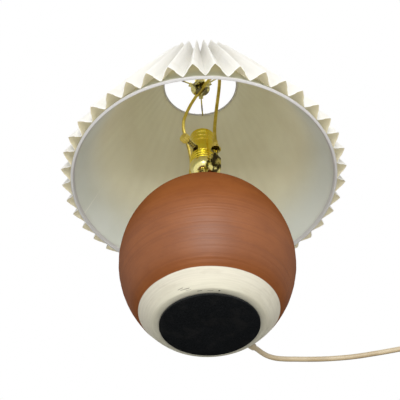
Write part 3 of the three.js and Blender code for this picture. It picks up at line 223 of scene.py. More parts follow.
class Finish(Tree):
    """A material of one Principled surface, its sockets filled with plain values or with levels."""

    def __init__(self, name, **sockets):
        self.material = bpy.data.materials.new(name)
        super().__init__(self.material)
        self.surface = self.nodes["Principled BSDF"]
        self.set(**sockets)

    def set(self, **sockets):
        """Fills sockets of the surface, whose names are given with underlines for their spaces."""
        for name, value in sockets.items():
            self.fill(self.surface.inputs[name.replace("_", " ")], value)

    def place(self, z_share=1):
        """The point of the piece in metres, its height multiplied by a share."""
        point = self.node("ShaderNodeTexCoord", {}, "Object")
        return self.node("ShaderNodeVectorMath", {0: point, 1: (1, 1, z_share)}, operation="MULTIPLY")

    def parts(self):
        """The X, Y and Z of the point of the piece in metres."""
        split = self.node("ShaderNodeSeparateXYZ", {0: self.place()})
        return [Level(self, output) for output in split.socket.node.outputs]

    def noise(self, scale, detail=3.0, roughness=0.5, spread=0.0, z_share=1):
        """Smooth noise from about 0.25 to 0.75; a large z_share draws it out into level lines."""
        inputs = {"Vector": self.place(z_share), "Scale": scale, "Detail": detail, "Roughness": roughness}
        return self.node("ShaderNodeTexNoise", {**inputs, "Distortion": spread})

    def mixed(self, share, first, second):
        """The first tone where share is 0 and the second where it is 1, each a level or a screen colour."""
        tones = [tone if isinstance(tone, Level) else paint(*tone) for tone in (first, second)]
        return self.node("ShaderNodeMix", {0: share, 6: tones[0], 7: tones[1]}, 2, data_type="RGBA")

    def blend(self, kind, share, **sockets):
        """Mixes a share of a second shader into the surface; its sockets take values or levels."""
        shaders = {1: Level(self, self.surface.outputs[0]), 2: self.node(kind, sockets)}
        self.fill(self.nodes["Material Output"].inputs["Surface"],
                  self.node("ShaderNodeMixShader", {0: share, **shaders}))

    def bump(self, height, distance, strength):
        """Fills Normal with a relief: a height of 1 stands distance metres proud."""
        inputs = {"Height": height, "Distance": distance, "Strength": strength}
        self.set(Normal=self.node("ShaderNodeBump", inputs))


def speckled(name, first, second, grain, relief, edge=None, fine=None, **sockets):
    """A finish whose tone goes from first to second with a grain of noise, or where it crosses an edge.

    Its relief, a distance and a strength, follows the same grain, or a fine one."""
    finish = Finish(name, **sockets)
    noise = finish.noise(*grain)
    finish.set(Base_Color=finish.mixed(noise.above(*edge) if edge else noise, first, second))
    finish.bump(finish.noise(*fine) if fine else noise, *relief)
    return finish


vinyl = speckled("ivory_vinyl", (185, 171, 143), (175, 159, 129), (38, 4), (0.0002, 0.4), (0.52, 0.22),
                 (420, 2), Roughness=0.42, Specular_IOR_Level=0.45)
cord_curve.materials.append(vinyl.material)

# Ball-shaped body
# Terracotta earthenware thrown on a wheel and cut level at foot and crown, with fine turning ridges left
# round its belly and a scraped ivory band above the felt. The cord's bushing goes through its foot ring.
BALL_RADIUS = 105.0
BALL_HALF_HEIGHT = 113.0
BALL_CENTRE_Z = 93.0
BALL_WALL = 6.5
BALL_HOLE_RADIUS = 6.0
BALL_COLUMNS = 192
FOOT_Z = 2.8
FOOT_EDGE = 1.6
RECESS_RADIUS = 50.0
RECESS_TOP_Z = 22.8
FLOOR_TOP_Z = 28.8
BUSHING_AZIMUTH = math.radians(47.5)
BUSHING_Z = 8.5
CORD_HOLE = (4.5, 46, 105)
RIDGE_ROWS = 450
RIDGE_COUNT = 54
RIDGE_HEIGHTS = (22, 118)
RIDGE_WIDTHS = (0.55, 0.95)
RIDGE_RISES = (0.07, 0.23)
RIDGE_SWAYS = (0.2, 1.5)
RIDGE_PHASES = (0, 6.28)
BAND_TOP = 0.0201
SCRATCHES = [(-112, 0.0652, 0.0052, 0.0003), (-109, 0.0636, 0.003, 0.00025), (-116, 0.0668, 0.0032, 0.0003)]
CHIPS = [(-79, 0.06, 0.0009, 0.0009), (-98.7, 0.0601, 0.0026, 0.0004), (-88, 0.0598, 0.003, 0.0002)]

chance = np.random.default_rng(7)


def solid(name, grid):
    """An object with the closed mesh of a grid of points in millimetres.

    The grid closes in a ring along each row, and from its last row to its first unless it is capped."""
    rows, columns = grid.shape[:2]
    is_capped = np.allclose(grid[0], grid[0, 0])
    row = np.arange(rows - 1 if is_capped else rows)[:, None]
    column = np.arange(columns)
    next_row = (row + 1) % rows
    next_column = (column + 1) % columns
    corners = [(row, column), (row, next_column), (next_row, next_column), (next_row, column)]
    quads = np.stack([down * columns + along for down, along in corners], axis=-1).reshape(-1, 4)
    points = grid.reshape(-1, 3) / 1000
    a, b, c, d = (points[quads[:, i]] for i in range(4))
    volume = np.sum(a * np.cross(b, c)) + np.sum(a * np.cross(c, d))
    if volume < 0:
        quads = quads[:, ::-1]
    mesh = bpy.data.meshes.new(name)
    mesh.from_pydata(points, [], quads)
    made = added(name, mesh)
    shape = bmesh.new()
    shape.from_mesh(mesh)
    bmesh.ops.remove_doubles(shape, verts=shape.verts, dist=1e-6)
    shape.to_mesh(mesh)
    shape.free()
    return made


def piece(name, node, grid, finish, body="base", crease=35, cuts=()):
    """A solid that rides on a body in place of a CAD node, with other solids' grids cut out of it.

    Edges sharper than crease degrees stay crisp."""
    made = solid(name, grid)
    for cut in cuts:
        cutter = solid("cutter", cut)
        difference = made.modifiers.new("cut", "BOOLEAN")
        difference.object = cutter
        difference.solver = "EXACT"
        seen = made.evaluated_get(bpy.context.evaluated_depsgraph_get())
        carved = bpy.data.meshes.new_from_object(seen)
        made.modifiers.clear()
        made.data = carved
        bpy.data.objects.remove(cutter)
    made.data.shade_smooth()
    made.data.set_sharp_from_angle(angle=math.radians(crease))
    made.data.materials.append(finish.material)
    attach(made, body)
    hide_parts(node)
    return made


def circle(steps):
    """Even angles once round, the first of them 0."""
    return np.linspace(0, 2 * np.pi, steps, endpoint=False)


def turned(outline, around=96):
    """Surface about Z: each level of the outline has a radius, one or one for each angle, and a height."""
    angle = circle(around)
    return np.array([np.stack([radius * np.cos(angle), radius * np.sin(angle), 0 * angle + height], axis=1)
                     for radius, height in outline])


def eased(outline, radius, steps=3, closed=True):
    """Outline with each corner cut by a parabola that starts and ends at most radius away from it."""
    corner = np.asarray(outline, float)
    back = np.roll(corner, 1, axis=0) - corner
    on = np.roll(corner, -1, axis=0) - corner
    shorter = np.minimum(np.linalg.norm(back, axis=1), np.linalg.norm(on, axis=1))
    reach = np.minimum(radius, 0.45 * shorter)[:, None]
    start = corner + unit(back) * reach
    end = corner + unit(on) * reach
    t = np.linspace(0, 1, steps + 1)[None, :, None]
    curve = (1 - t) ** 2 * start[:, None] + 2 * t * (1 - t) * corner[:, None] + t**2 * end[:, None]
    if not closed:
        curve[0] = corner[0]
        curve[-1] = corner[-1]
    return curve.reshape(-1, corner.shape[1])


def capped(grid):
    """Tube whose two ends close at the middle of their rims."""
    first, last = (np.broadcast_to(rim.mean(axis=0), (1, *rim.shape)) for rim in (grid[0], grid[-1]))
    return np.concatenate([first, grid, last])


def spun(grid, azimuth, centre=(0, 0, 0)):
    """Grid turned about Z by an azimuth and moved to a centre."""
    c, s = math.cos(azimuth), math.sin(azimuth)
    return grid @ np.array([[c, s, 0], [-s, c, 0], [0, 0, 1]]) + np.array(centre)


def along_x(grid, height):
    """Grid turned so that its axis Z lies along X at a height."""
    return np.stack([grid[..., 2], grid[..., 1], height - grid[..., 0]], axis=-1)


def bar_along_x(radius, start, end, height):
    """Round bar along X at a height, both ends closed."""
    return along_x(capped(turned([(radius, start), (radius, end)], 32)), height)


def ball_face(latitude, inset):
    """Outline of the ball's ellipse at latitudes, with its two half axes shorter by an inset."""
    return (0, BALL_CENTRE_Z) + arc((BALL_RADIUS - inset, BALL_HALF_HEIGHT - inset), latitude)


def wheel_ridges(grid):
    """Relief of the belly: Gaussian ridges and furrows that drift a little in height round the ball."""
    azimuth = np.arctan2(grid[..., 1], grid[..., 0])[..., None]
    place = np.sort(chance.uniform(*RIDGE_HEIGHTS, RIDGE_COUNT))
    width = chance.uniform(*RIDGE_WIDTHS, RIDGE_COUNT)
    rise = chance.uniform(*RIDGE_RISES, RIDGE_COUNT) * chance.choice([-1, 1], RIDGE_COUNT)
    sway = chance.uniform(*RIDGE_SWAYS, RIDGE_COUNT)
    sway = sway * np.sin(azimuth + chance.uniform(*RIDGE_PHASES, RIDGE_COUNT))
    fading = 0.55 + 0.45 * np.sin(2 * azimuth + chance.uniform(*RIDGE_PHASES, RIDGE_COUNT))
    relief = rise * fading * np.exp(-(((grid[..., 2, None] - place - sway) / width) ** 2))
    return relief.sum(axis=-1)


lowest = math.asin((FOOT_Z + FOOT_EDGE - BALL_CENTRE_Z) / BALL_HALF_HEIGHT)
highest = math.acos(BALL_HOLE_RADIUS / BALL_RADIUS)
outer_face = ball_face(np.linspace(lowest, highest, RIDGE_ROWS), 0)
inner_highest = math.acos(BALL_HOLE_RADIUS / (BALL_RADIUS - BALL_WALL))
inner_lowest = math.asin((FLOOR_TOP_Z - BALL_CENTRE_Z) / (BALL_HALF_HEIGHT - BALL_WALL))
foot_radius = BALL_RADIUS * math.sqrt(1 - ((FOOT_Z - BALL_CENTRE_Z) / BALL_HALF_HEIGHT) ** 2)
foot_corner = eased([
    (RECESS_RADIUS, RECESS_TOP_Z), (RECESS_RADIUS, FOOT_Z), (foot_radius, FOOT_Z),
    outer_face[0] + (0.4, 0.6),
], FOOT_EDGE, closed=False)[:-1]
ball_outline = np.vstack([
    foot_corner,
    outer_face,
    ball_face(np.linspace(inner_highest, inner_lowest, 40), BALL_WALL),
    [(BALL_HOLE_RADIUS, FLOOR_TOP_Z), (BALL_HOLE_RADIUS, RECESS_TOP_Z)],
])
ball_grid = turned(ball_outline, BALL_COLUMNS)
outer_rows = ball_grid[len(foot_corner) : len(foot_corner) + RIDGE_ROWS]
outer_rows += wheel_ridges(outer_rows)[..., None] * unit(outer_rows - (0, 0, BALL_CENTRE_Z))

clay = Finish("terracotta_earthenware", Specular_IOR_Level=0.0)
x, y, z = clay.parts()
rings = clay.noise(3, 4, 0.6, z_share=90)
mottle = clay.noise(18, 5, 0.6, z_share=1.6)
scuffs = clay.noise(55, 5, 0.7, 0.4, 9).above(0.7, 0.03)
warm = clay.mixed(mottle.above(0.5, 0.3), (126, 73, 35), (117, 66, 31))
warm = clay.mixed(rings.above(0.56, 0.1) * (1.0 - z.above(0.11, 0.06)) * 0.3, warm, (104, 57, 27))
warm = clay.mixed(scuffs * 0.12, warm, (176, 128, 92))
streaks = clay.noise(26, 4, 0.65, z_share=40)
smear = clay.noise(26, 4, 0.6, z_share=4)
ivory = clay.mixed(streaks.above(0.5, 0.3), (208, 205, 190), (200, 197, 182))
ivory = clay.mixed(smear.above(0.6, 0.1) * 0.2, ivory, (176, 170, 152))
edge_wander = clay.noise(14, 3, z_share=0.3) * 0.0016
coat = clay.mixed(1.0 - (z + edge_wander).above(BAND_TOP, 0.0006), warm, ivory)
from_axis = clay.node("ShaderNodeVectorMath", {0: clay.place(0)}, 1, operation="LENGTH")
# Painted shade: a thin darker ring on the clay just outside the felt, for the shadow in the gap at its
# edge.
painted_gap_shade = (1.0 - from_axis.above(0.0567, 0.0006)) * (1.0 - z.above(0.02, 0.001))
coat = clay.mixed(painted_gap_shade * 0.25, coat, (110, 104, 92))
mark_wander = (smear - 0.5) * 0.004


def mark(azimuth_degrees, radius, half_length, half_width):
    """1 along a short line round the axis on the foot, its size in metres, and 0 elsewhere."""
    azimuth = math.radians(azimuth_degrees)
    outward = x * math.cos(azimuth) + y * math.sin(azimuth)
    sideways = y * math.cos(azimuth) - x * math.sin(azimuth)
    across = 1.0 - abs(outward - radius + mark_wander).above(half_width, half_width * 0.4)
    return across * (1.0 - abs(sideways).above(half_length, 0.001)) * (1.0 - z.above(0.014, 0.001))


for marks, share, tone in ((SCRATCHES, 0.62, (84, 82, 76)), (CHIPS, 0.95, (38, 34, 28))):
    first, second, third = (mark(*line) for line in marks)
    coat = clay.mixed((first + second + third) * share, coat, tone)
clay.set(Base_Color=coat, Roughness=clay.noise(30, 4, 0.6, z_share=8) * 0.2 + 0.5)
burnished = z.above(0.029, 0.024) * (1.0 - z.above(0.1, 0.06))
clay.blend("ShaderNodeBsdfGlossy", burnished * 0.028 + 0.009, Color=(1, 1, 1, 1), Roughness=0.54)
throw_lines = clay.noise(2.2, 4, 0.65, z_share=260)
clay.bump(throw_lines * 0.8 + rings * 0.25 + clay.noise(900, 2) * 0.05, 0.0003, 0.75)

cord_hole = spun(bar_along_x(*CORD_HOLE, BUSHING_Z), BUSHING_AZIMUTH)
piece("ball_body", "ceramic_body", ball_grid, clay, crease=40, cuts=[cord_hole])

# Felt under the foot
# A disc cut from black pressed felt and glued over the recess, so that the foot doesn't scratch a table.
# Its fibres stand a little way off its edge.
FELT_RADIUS = 56.0
FELT_THICKNESS = 2.5
FELT_FUZZ = 0.0009

felt = Finish("black_pressed_felt", Roughness=0.95, Specular_IOR_Level=0.15)
fibres = felt.noise(620, 5, 0.75, 1.5)
fleck = felt.mixed(fibres.above(0.55, 0.3), (24, 26, 28), (50, 52, 54))
felt.set(Base_Color=felt.mixed(felt.noise(45, 4, 0.6).above(0.56, 0.2) * 0.4, fleck, (58, 57, 55)))
felt.bump(fibres, 0.0007, 0.9)
felt_outline = [(0.001, 0), (FELT_RADIUS, 0), (FELT_RADIUS, FELT_THICKNESS), (0.001, FELT_THICKNESS)]
felt_grid = capped(turned(eased(felt_outline, 0.7), 220))
at_edge = np.linalg.norm(felt_grid, axis=-1, keepdims=True) > FELT_RADIUS - 2
felt_grid *= 1 + chance.normal(0, FELT_FUZZ, at_edge.shape) * at_edge * [1, 1, 0]
piece("felt_disc", "felt_pad", felt_grid, felt, crease=60)

# Steel pipe, washer and nut
# Zinc-plated steel, threaded: the pipe holds the lamp together from the nut in the foot to the socket,
# with the washer between nut and clay. All three keep their CAD shapes.
zinc = Finish("zinc_plated_steel", Metallic=1.0)
patches = zinc.noise(160, 4, 0.6)
zinc.set(Base_Color=zinc.mixed(patches, (150, 150, 148), (205, 204, 198)), Roughness=patches * 0.4 + 0.2)
thread = zinc.node("ShaderNodeTexWave", {"Vector": zinc.place(), "Scale": 140.0}, bands_direction="Z")
zinc.bump(thread, 0.0002, 0.4)


def refinish(name, finish):
    """Puts a finish on a CAD node that keeps its shape."""
    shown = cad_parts[name]
    shown.data.materials.clear()
    shown.data.materials.append(finish.material)


for name in ("lamp_pipe", "base_washer", "base_nut"):
    refinish(name, zinc)

# Vase cap and neck
# Spun and turned brass, polished and lacquered: the cap hides the hole in the crown, the neck lifts the
# socket off it.
BORE_RADIUS = 5.2
SHEET = 1.0
VASE_CAP_OUTLINE = [
    (22, 203.8), (21.604, 205.72), (19.8, 207.16), (18.04, 208.6), (14.96, 210.2), (12.1, 211),
    (8.4, 211.8),
]
NECK_OUTLINE = [
    (7.52, 212.1), (8, 214), (6.72, 215.9), (6, 220.65), (6.4, 226.54), (8, 229.2), (7.52, 231.1),
]


def brass(name, bright, deep, roughness, wear=0.16, lacquer=0.0, ripple=0.0, patch=0.3):
    """Brass between a bright and a deep tone, with faint turning lines and clouds of handling.

    wear is how far the roughness varies, lacquer the share of clear coat, ripple how uneven the sheet is,
    and patch how softly the tones meet."""
    metal = Finish(name, Metallic=1.0, Coat_Weight=lacquer, Coat_Roughness=0.06)
    # Clouds of handling; where they meet sharply, as on the saddle, they are also painted reflections and
    # glints.
    cloud = metal.noise(90, 5, 0.62)
    lines = metal.noise(240, 3, 0.6, z_share=22)
    metal.set(Base_Color=metal.mixed(cloud.above(0.5, patch), bright, deep),
              Roughness=cloud * wear + lines * 0.06 + (roughness - wear / 2))
    metal.bump(lines + cloud * 0.4 + metal.noise(130, 2) * ripple, 0.00006, 0.35)
    return metal


polished = brass("polished_brass", (255, 246, 172), (248, 234, 140), 0.16, 0.12, 1.0, 2.0)
vase_outer = flowing(VASE_CAP_OUTLINE, 6)
vase_low, vase_top = vase_outer[[0, -1], 1]
vase_outline = np.vstack([
    vase_outer,
    [(BORE_RADIUS, vase_top), (BORE_RADIUS, vase_top - SHEET)],
    np.maximum(vase_outer[::-1] - SHEET, (BORE_RADIUS + 0.2, vase_low)),
])
piece("spun_vase_cap", "vase_cap", turned(vase_outline), polished)

neck_outer = flowing(NECK_OUTLINE, 6)
neck_outline = [*neck_outer, (BORE_RADIUS, neck_outer[-1, 1]), (BORE_RADIUS, neck_outer[0, 1])]
piece("turned_neck", "neck", turned(neck_outline, 72), polished)

# Harp saddle
# One strip of steel with a tarnished brass plating, bent up on both sides of the pipe; each end narrows
# to a tongue for the harp's leg. The lock nut holds it on the neck. The plating is painted in sharp dark
# and bright patches: partly tarnish, partly painted reflections and glints.
HARP_AZIMUTH = math.radians(-56)
SADDLE_Z = 231.4
SADDLE_THICKNESS = 1.6
SADDLE_WIDTH = 16.0
SADDLE_TIP_WIDTH = 6.0
SADDLE_SHOULDERS = (26.0, 31.0)
SADDLE_LINE = [(0, 0.8), (10, 0.8), (19.5, 0.8), (25, 3.6), (28.7, 8.5), (30.0, 22), (31, 39), (31, 48)]
LOCK_NUT_Z = 233.3
LOCK_NUT_HEIGHT = 4.0
LOCK_NUT_FLATS = 7.2
LOCK_NUT_BEVEL = 0.5


def rounded_box(half_width, half_height, corner, steps=3):
    """Outline of a rectangle with its corners rounded, anticlockwise from the right."""
    quarter = np.linspace(0, np.pi / 2, steps + 1)
    turns = np.concatenate([quarter + k * np.pi / 2 for k in range(4)])
    side = np.repeat([(1, 1), (-1, 1), (-1, -1), (1, -1)], steps + 1, axis=0)
    return side * (half_width - corner, half_height - corner) + arc(corner, turns)


def swept(line, sections):
    """Bar along a line in the XZ plane; each section has a Y and a height over the line for its points."""
    centre = np.asarray(line, float)
    along = unit(np.gradient(centre, axis=0))
    over = np.stack([-along[:, 1], along[:, 0]], axis=1)
    return capped(np.array([np.insert(place + section[:, 1:] * normal, 1, section[:, 0], axis=1)
                            for place, normal, section in zip(centre, over, sections)]))


def smooth(share):
    """Share from 0 to 1 with a level start and end: three squares less two cubes."""
    return share**2 * (3 - 2 * share)


dark = brass("dark_brass_plating", (214, 202, 122), (102, 92, 44), 0.12, 0.14, 0.6, 20.0, 0.1)
# Sharp near-black and bright patches: tarnish, and painted reflections and glints.
tarnish_and_reflections = brass("tarnish_and_painted_reflections", (226, 212, 130), (60, 52, 22), 0.1, 0.08, 0.2, 26.0, 0.07)
half_line = flowing(SADDLE_LINE, 10)
saddle_line = np.vstack([half_line[::-1] * (-1, 1), half_line[1:]])
narrowing = smooth(np.interp(saddle_line[:, 1], SADDLE_SHOULDERS, (0, 1)))
saddle_widths = SADDLE_WIDTH + (SADDLE_TIP_WIDTH - SADDLE_WIDTH) * narrowing
saddle_sections = [rounded_box(width / 2, SADDLE_THICKNESS / 2, 0.45) for width in saddle_widths]
saddle_grid = spun(swept(saddle_line, saddle_sections), HARP_AZIMUTH, (0, 0, SADDLE_Z))
pipe_hole = spun(capped(turned([(BORE_RADIUS, -4), (BORE_RADIUS, 6)], 40)), HARP_AZIMUTH, (0, 0, SADDLE_Z))
piece("bent_saddle", "harp_saddle", saddle_grid, tarnish_and_reflections, cuts=[pipe_hole])

flat_reach = LOCK_NUT_FLATS / np.cos((circle(96) + np.pi / 6) % (np.pi / 3) - np.pi / 6)
bevelled_reach = np.minimum(flat_reach, 0.93 * LOCK_NUT_FLATS / math.cos(math.pi / 6))
nut_top = LOCK_NUT_Z + LOCK_NUT_HEIGHT
nut_levels = [
    (bevelled_reach, LOCK_NUT_Z), (flat_reach, LOCK_NUT_Z + LOCK_NUT_BEVEL),
    (flat_reach, nut_top - LOCK_NUT_BEVEL), (bevelled_reach, nut_top),
    (BORE_RADIUS, nut_top), (BORE_RADIUS, LOCK_NUT_Z),
]
piece("hex_lock_nut", "lock_nut", turned(nut_levels), polished, crease=25)

# Socket cap and set screw
# The spun brass cap of the socket: a round hub clamped on the pipe by a slotted screw, opening into a
# dome whose rim holds the shell. Polished and lacquered.
CAP_HUB = [(5.2, 238), (5.6, 237.6), (7.7, 237.6), (8.6, 238.5), (8.6, 251.6)]
CAP_DOME = [(8.6, 252.6), (12.056, 254.52), (15.704, 258.04), (18.2, 263.16), (18.2, 268.6)]
SET_SCREW_AZIMUTH = math.radians(252)
SET_SCREW_Z = 247.5
SET_SCREW_OUTLINE = [(2.9, 8.9), (2.9, 10.5), (2.3, 11.1)]
SCREW_SLOT_HALF_SIZE = (0.5, 5.8)
SCREW_SLOT_REACHES = (10, 13.1)

dome = flowing(CAP_DOME, 7)
dome_low, dome_high = dome[[0, -1], 1]
dome_inner = np.minimum(dome[::-1] + (-SHEET, SHEET), (np.inf, dome_high))
cap_outline = np.vstack([CAP_HUB, dome, dome_inner, [(BORE_RADIUS, dome_low + SHEET)]])
piece("spun_socket_cap", "socket_cap", turned(cap_outline), polished)


def lofted(sections, reaches, centre=(0, 0, 0), axis=0):
    """Grid of flat sections set at their reaches along an axis, X unless another is named."""
    rows = [np.insert(section, axis, reach, axis=1) for section, reach in zip(sections, reaches)]
    return np.array(rows) + centre


screw_grid = along_x(capped(turned(SET_SCREW_OUTLINE, 40)), SET_SCREW_Z)
slot_box = rounded_box(*SCREW_SLOT_HALF_SIZE, 0.1)
slot_grid = capped(lofted([slot_box] * 2, SCREW_SLOT_REACHES, (0, 0, SET_SCREW_Z)))
piece("slotted_set_screw", "set_screw", spun(screw_grid, SET_SCREW_AZIMUTH), dark,
      cuts=[spun(slot_grid, SET_SCREW_AZIMUTH)])

# Socket shell
# Rolled sheet brass with beads above the cap's rim, three low ribs and a flared lip; a slot in its wall
# clears the switch shaft. A fibre sleeve lines it.
KNOB_AZIMUTH = math.radians(232)
KNOB_Z = 292.5
SHELL_Z = 265.0
SHELL_TOP = 329.0
SHELL_RADIUS = 16.9
SHELL_WALL = 0.7
BULGES = [
    (268.9, 3.6, 1.3), (274.6, 2.7, 0.8), (279.2, 2.7, 0.8), (283.6, 2.4, 0.6),
    (305.96, 2.4, 0.5), (313.64, 2.4, 0.5), (321.32, 2.4, 0.5),
]
LIP_HEIGHT = 2.4
LIP_RISE = 0.5
SLOT_HALF_WIDTH = 4.4
SLOT_DROP = 6.0
SLOT_REACHES = (8.0, 24.0)
SLEEVE_OUTLINE = [(15.9, 265), (15.9, 326), (15.3, 326), (15.3, 265)]


def rolled(low, height, rise):
    """Outline of a rolled bulge on the shell: half a sine wave."""
    share = np.linspace(0, 1, 11)
    return np.stack([SHELL_RADIUS + rise * np.sin(np.pi * share), low + share * height], axis=1)


def plain_wall(low, high):
    """Straight stretch of the shell's face."""
    return [(SHELL_RADIUS, low + 0.3), (SHELL_RADIUS, high - 0.3)]


shell_face = []
level_reached = SHELL_Z
for low, height, rise in BULGES:
    shell_face += [plain_wall(level_reached, low), rolled(low, height, rise)]
    level_reached = low + height
shell_outline = np.vstack([
    *shell_face,
    plain_wall(level_reached, SHELL_TOP - LIP_HEIGHT),
    [(SHELL_RADIUS + LIP_RISE, SHELL_TOP)],
    [(SHELL_RADIUS - SHELL_WALL, SHELL_TOP - 0.2), (SHELL_RADIUS - SHELL_WALL, SHELL_Z)],
])

slot_section = np.vstack([
    arc(SLOT_HALF_WIDTH, np.linspace(0, np.pi, 17)),
    [(-SLOT_HALF_WIDTH, -SLOT_DROP), (SLOT_HALF_WIDTH, -SLOT_DROP)],
])
shaft_slot = spun(capped(lofted([slot_section] * 2, SLOT_REACHES, (0, 0, KNOB_Z))), KNOB_AZIMUTH)
gold = brass("gold_lacquered_brass", (255, 236, 62), (252, 222, 44), 0.19, 0.12, 0.7, 1.0)
piece("rolled_shell", "socket_shell", turned(shell_outline, 128), gold, crease=30,
      cuts=[shaft_slot])

fibre = speckled("grey_fibreboard", (58, 50, 42), (104, 93, 78), (260, 4, 0.65, 0, 3), (0.0002, 0.5),
                 Roughness=0.9, Specular_IOR_Level=0.2)
piece("fibre_sleeve", "insulating_sleeve", turned(eased(SLEEVE_OUTLINE, 0.15)), fibre,
      cuts=[shaft_slot])

# Socket interior, screw shell and contact
# A body moulded in brown phenolic carries a thin brass cup with a rolled thread, into which a bulb
# screws, and the contact button in the eye of the cup.
INTERIOR_OUTLINE = [(7.3, 253.9), (7.3, 257.54), (11.388, 260.4), (14.6, 265.6), (14.6, 298.2), (13.8, 299)]
SHAFT_HOLE = (2.8, 4.7, 18.6)
CUP_EYE_RADIUS = 7.0
CUP_RADIUS = 14.2
CUP_WALL = 0.6
CUP_Z = 299.3
CUP_TOP = 324.0
THREAD_COUNT = 3
THREAD_DEPTH = 0.5

phenolic = speckled("brown_phenolic", (26, 18, 15), (64, 42, 32), (70, 5, 0.6, 1.2), (0.0001, 0.4),
                    fine=(500, 2), Roughness=0.38)
shaft_hole = spun(bar_along_x(*SHAFT_HOLE, KNOB_Z), KNOB_AZIMUTH)
piece("phenolic_interior", "socket_interior", capped(turned(INTERIOR_OUTLINE)), phenolic,
      cuts=[shaft_hole])

pitch = (CUP_TOP - CUP_Z) / (THREAD_COUNT + 1)
thread_z = np.linspace(CUP_Z + 0.75 * pitch, CUP_TOP - 0.25 * pitch, 60)
thread_wave = 1 - np.cos(2 * np.pi * (thread_z - thread_z[0]) / pitch)
thread_face = np.stack([CUP_RADIUS - THREAD_DEPTH / 2 * thread_wave, thread_z], axis=1)
cup_outline = np.vstack([
    [(CUP_EYE_RADIUS, CUP_Z), (CUP_RADIUS - 0.5, CUP_Z), (CUP_RADIUS, CUP_Z + 0.6)],
    thread_face,
    [(CUP_RADIUS, CUP_TOP), (CUP_RADIUS - CUP_WALL, CUP_TOP)],
    thread_face[::-1] - (CUP_WALL, 0),
    [(CUP_RADIUS - 1.2, CUP_Z + CUP_WALL), (CUP_EYE_RADIUS, CUP_Z + CUP_WALL)],
])
piece("rolled_screw_shell", "screw_shell", turned(cup_outline), polished, crease=60)
refinish("centre_contact", polished)

# Turn knob and its shaft
# A moulded, fluted plastic knob the colour of old ivory, pushed on a bright ribbed brass shaft that turns
# the switch.
SHAFT_START = [(2.2, 5), (2.5, 5.3), (2.5, 14.9), (2.9, 15.2)]
SHAFT_END = [(2.5, 33.7), (2.5, 38.2), (2.2, 38.5)]
SHAFT_RADIUS = 3.5
SHAFT_RIBS = 5
RIBS_REACH = (17.7, 33.7)
RIB_DEPTH = 0.6
KNOB_OUTLINE = [(5.7, 34), (6.5, 34.5), (6.8, 35.8), (6.8, 40.6), (6.3, 42.1), (4.8, 42.8), (0.001, 43)]
KNOB_SOCKET = [(0.001, 38.8), (2.8, 38.8), (2.8, 34)]
KNOB_FLUTES = 12
KNOB_FLUTE_DEPTH = 0.75
KNOB_FLUTE_HALF_WIDTH = 0.3
KNOB_FLUTED_RADII = (4, 6)

rib_x = np.linspace(*RIBS_REACH, SHAFT_RIBS * 16 + 1)
rib_phase = np.linspace(0, 2 * np.pi * SHAFT_RIBS, len(rib_x))
rib_radius = SHAFT_RADIUS - RIB_DEPTH * np.clip(0.5 + 0.9 * np.cos(rib_phase), 0, 1)
shaft_outline = np.vstack([SHAFT_START, np.stack([rib_radius, rib_x], axis=1), SHAFT_END])
shaft_grid = spun(along_x(capped(turned(shaft_outline, 48)), KNOB_Z), KNOB_AZIMUTH)
worn = brass("worn_brass", (214, 200, 116), (120, 106, 52), 0.14, 0.2, 0.6, 8.0)
piece("ribbed_shaft", "knob_shaft", shaft_grid, worn, "knob")

knob_columns = 16 * KNOB_FLUTES
across_flute = circle(knob_columns) * KNOB_FLUTES / (2 * np.pi) % 1 - 0.5
flute = KNOB_FLUTE_DEPTH * np.clip(1 - (across_flute / KNOB_FLUTE_HALF_WIDTH) ** 2, 0, 1)
knob_levels = [(radius - np.interp(radius, KNOB_FLUTED_RADII, (0, 1)) * flute, reach)
               for radius, reach in flowing(KNOB_OUTLINE, 6)]
knob_levels += KNOB_SOCKET
knob_grid = spun(along_x(turned(knob_levels, knob_columns), KNOB_Z), KNOB_AZIMUTH)
ivory_plastic = speckled("aged_ivory_plastic", (220, 198, 92), (198, 174, 70), (170, 4, 0.6), (0.0001, 0.4),
                         (0.5, 0.3), (700, 2), Roughness=0.38, Specular_IOR_Level=0.45)
piece("fluted_knob", "turn_knob", knob_grid, ivory_plastic, "knob", 50)

# Harp
# A tan-plated spring wire bent to a tall loop that stands on the saddle's tongues, its flat crown holding
# the stud block on which the shade's spider rests.
HARP_WIRE_RADIUS = 2.45
HARP_RIGHT = [
    (31, 279.7), (31, 294.7), (31, 309.7), (33, 325.62), (39.4, 355.14), (47, 384.66),
    (51, 409.26), (47.94, 427.3), (31.62, 439.6), (15, 443.7), (10, 443.7),
]
STUD_BLOCK_OUTLINE = [(0, 439.5), (7.5, 439.5), (7.5, 447.9), (3.1, 447.9)]
STUD_RADIUS = 3.1
STUD_THREAD = (448.5, 462.1)
STUD_THREAD_DEPTH = 0.18
STUD_TIP = (2.3, 462.9)
CHANNEL_Z = 443.7
CHANNEL_ENDS = (-12, 12)
CHANNEL_HALF_WIDTH = 2.5
CHANNEL_DEPTH = 5.0


def tube(line, radius, around=20):
    """Round tube along a line in the XZ plane, its ends closed."""
    section = arc(radius, circle(around))[:, ::-1]
    return swept(line, [section] * len(line))


harp_right = np.array(HARP_RIGHT)
harp_line = flowing(np.vstack([harp_right, harp_right[::-1] * (-1, 1)]), 12)
harp_grid = spun(tube(harp_line, HARP_WIRE_RADIUS), HARP_AZIMUTH)
tan = brass("tan_plated_wire", (236, 216, 108), (208, 186, 78), 0.5)
piece("harp_loop", "harp_wire", harp_grid, tan, "harp")

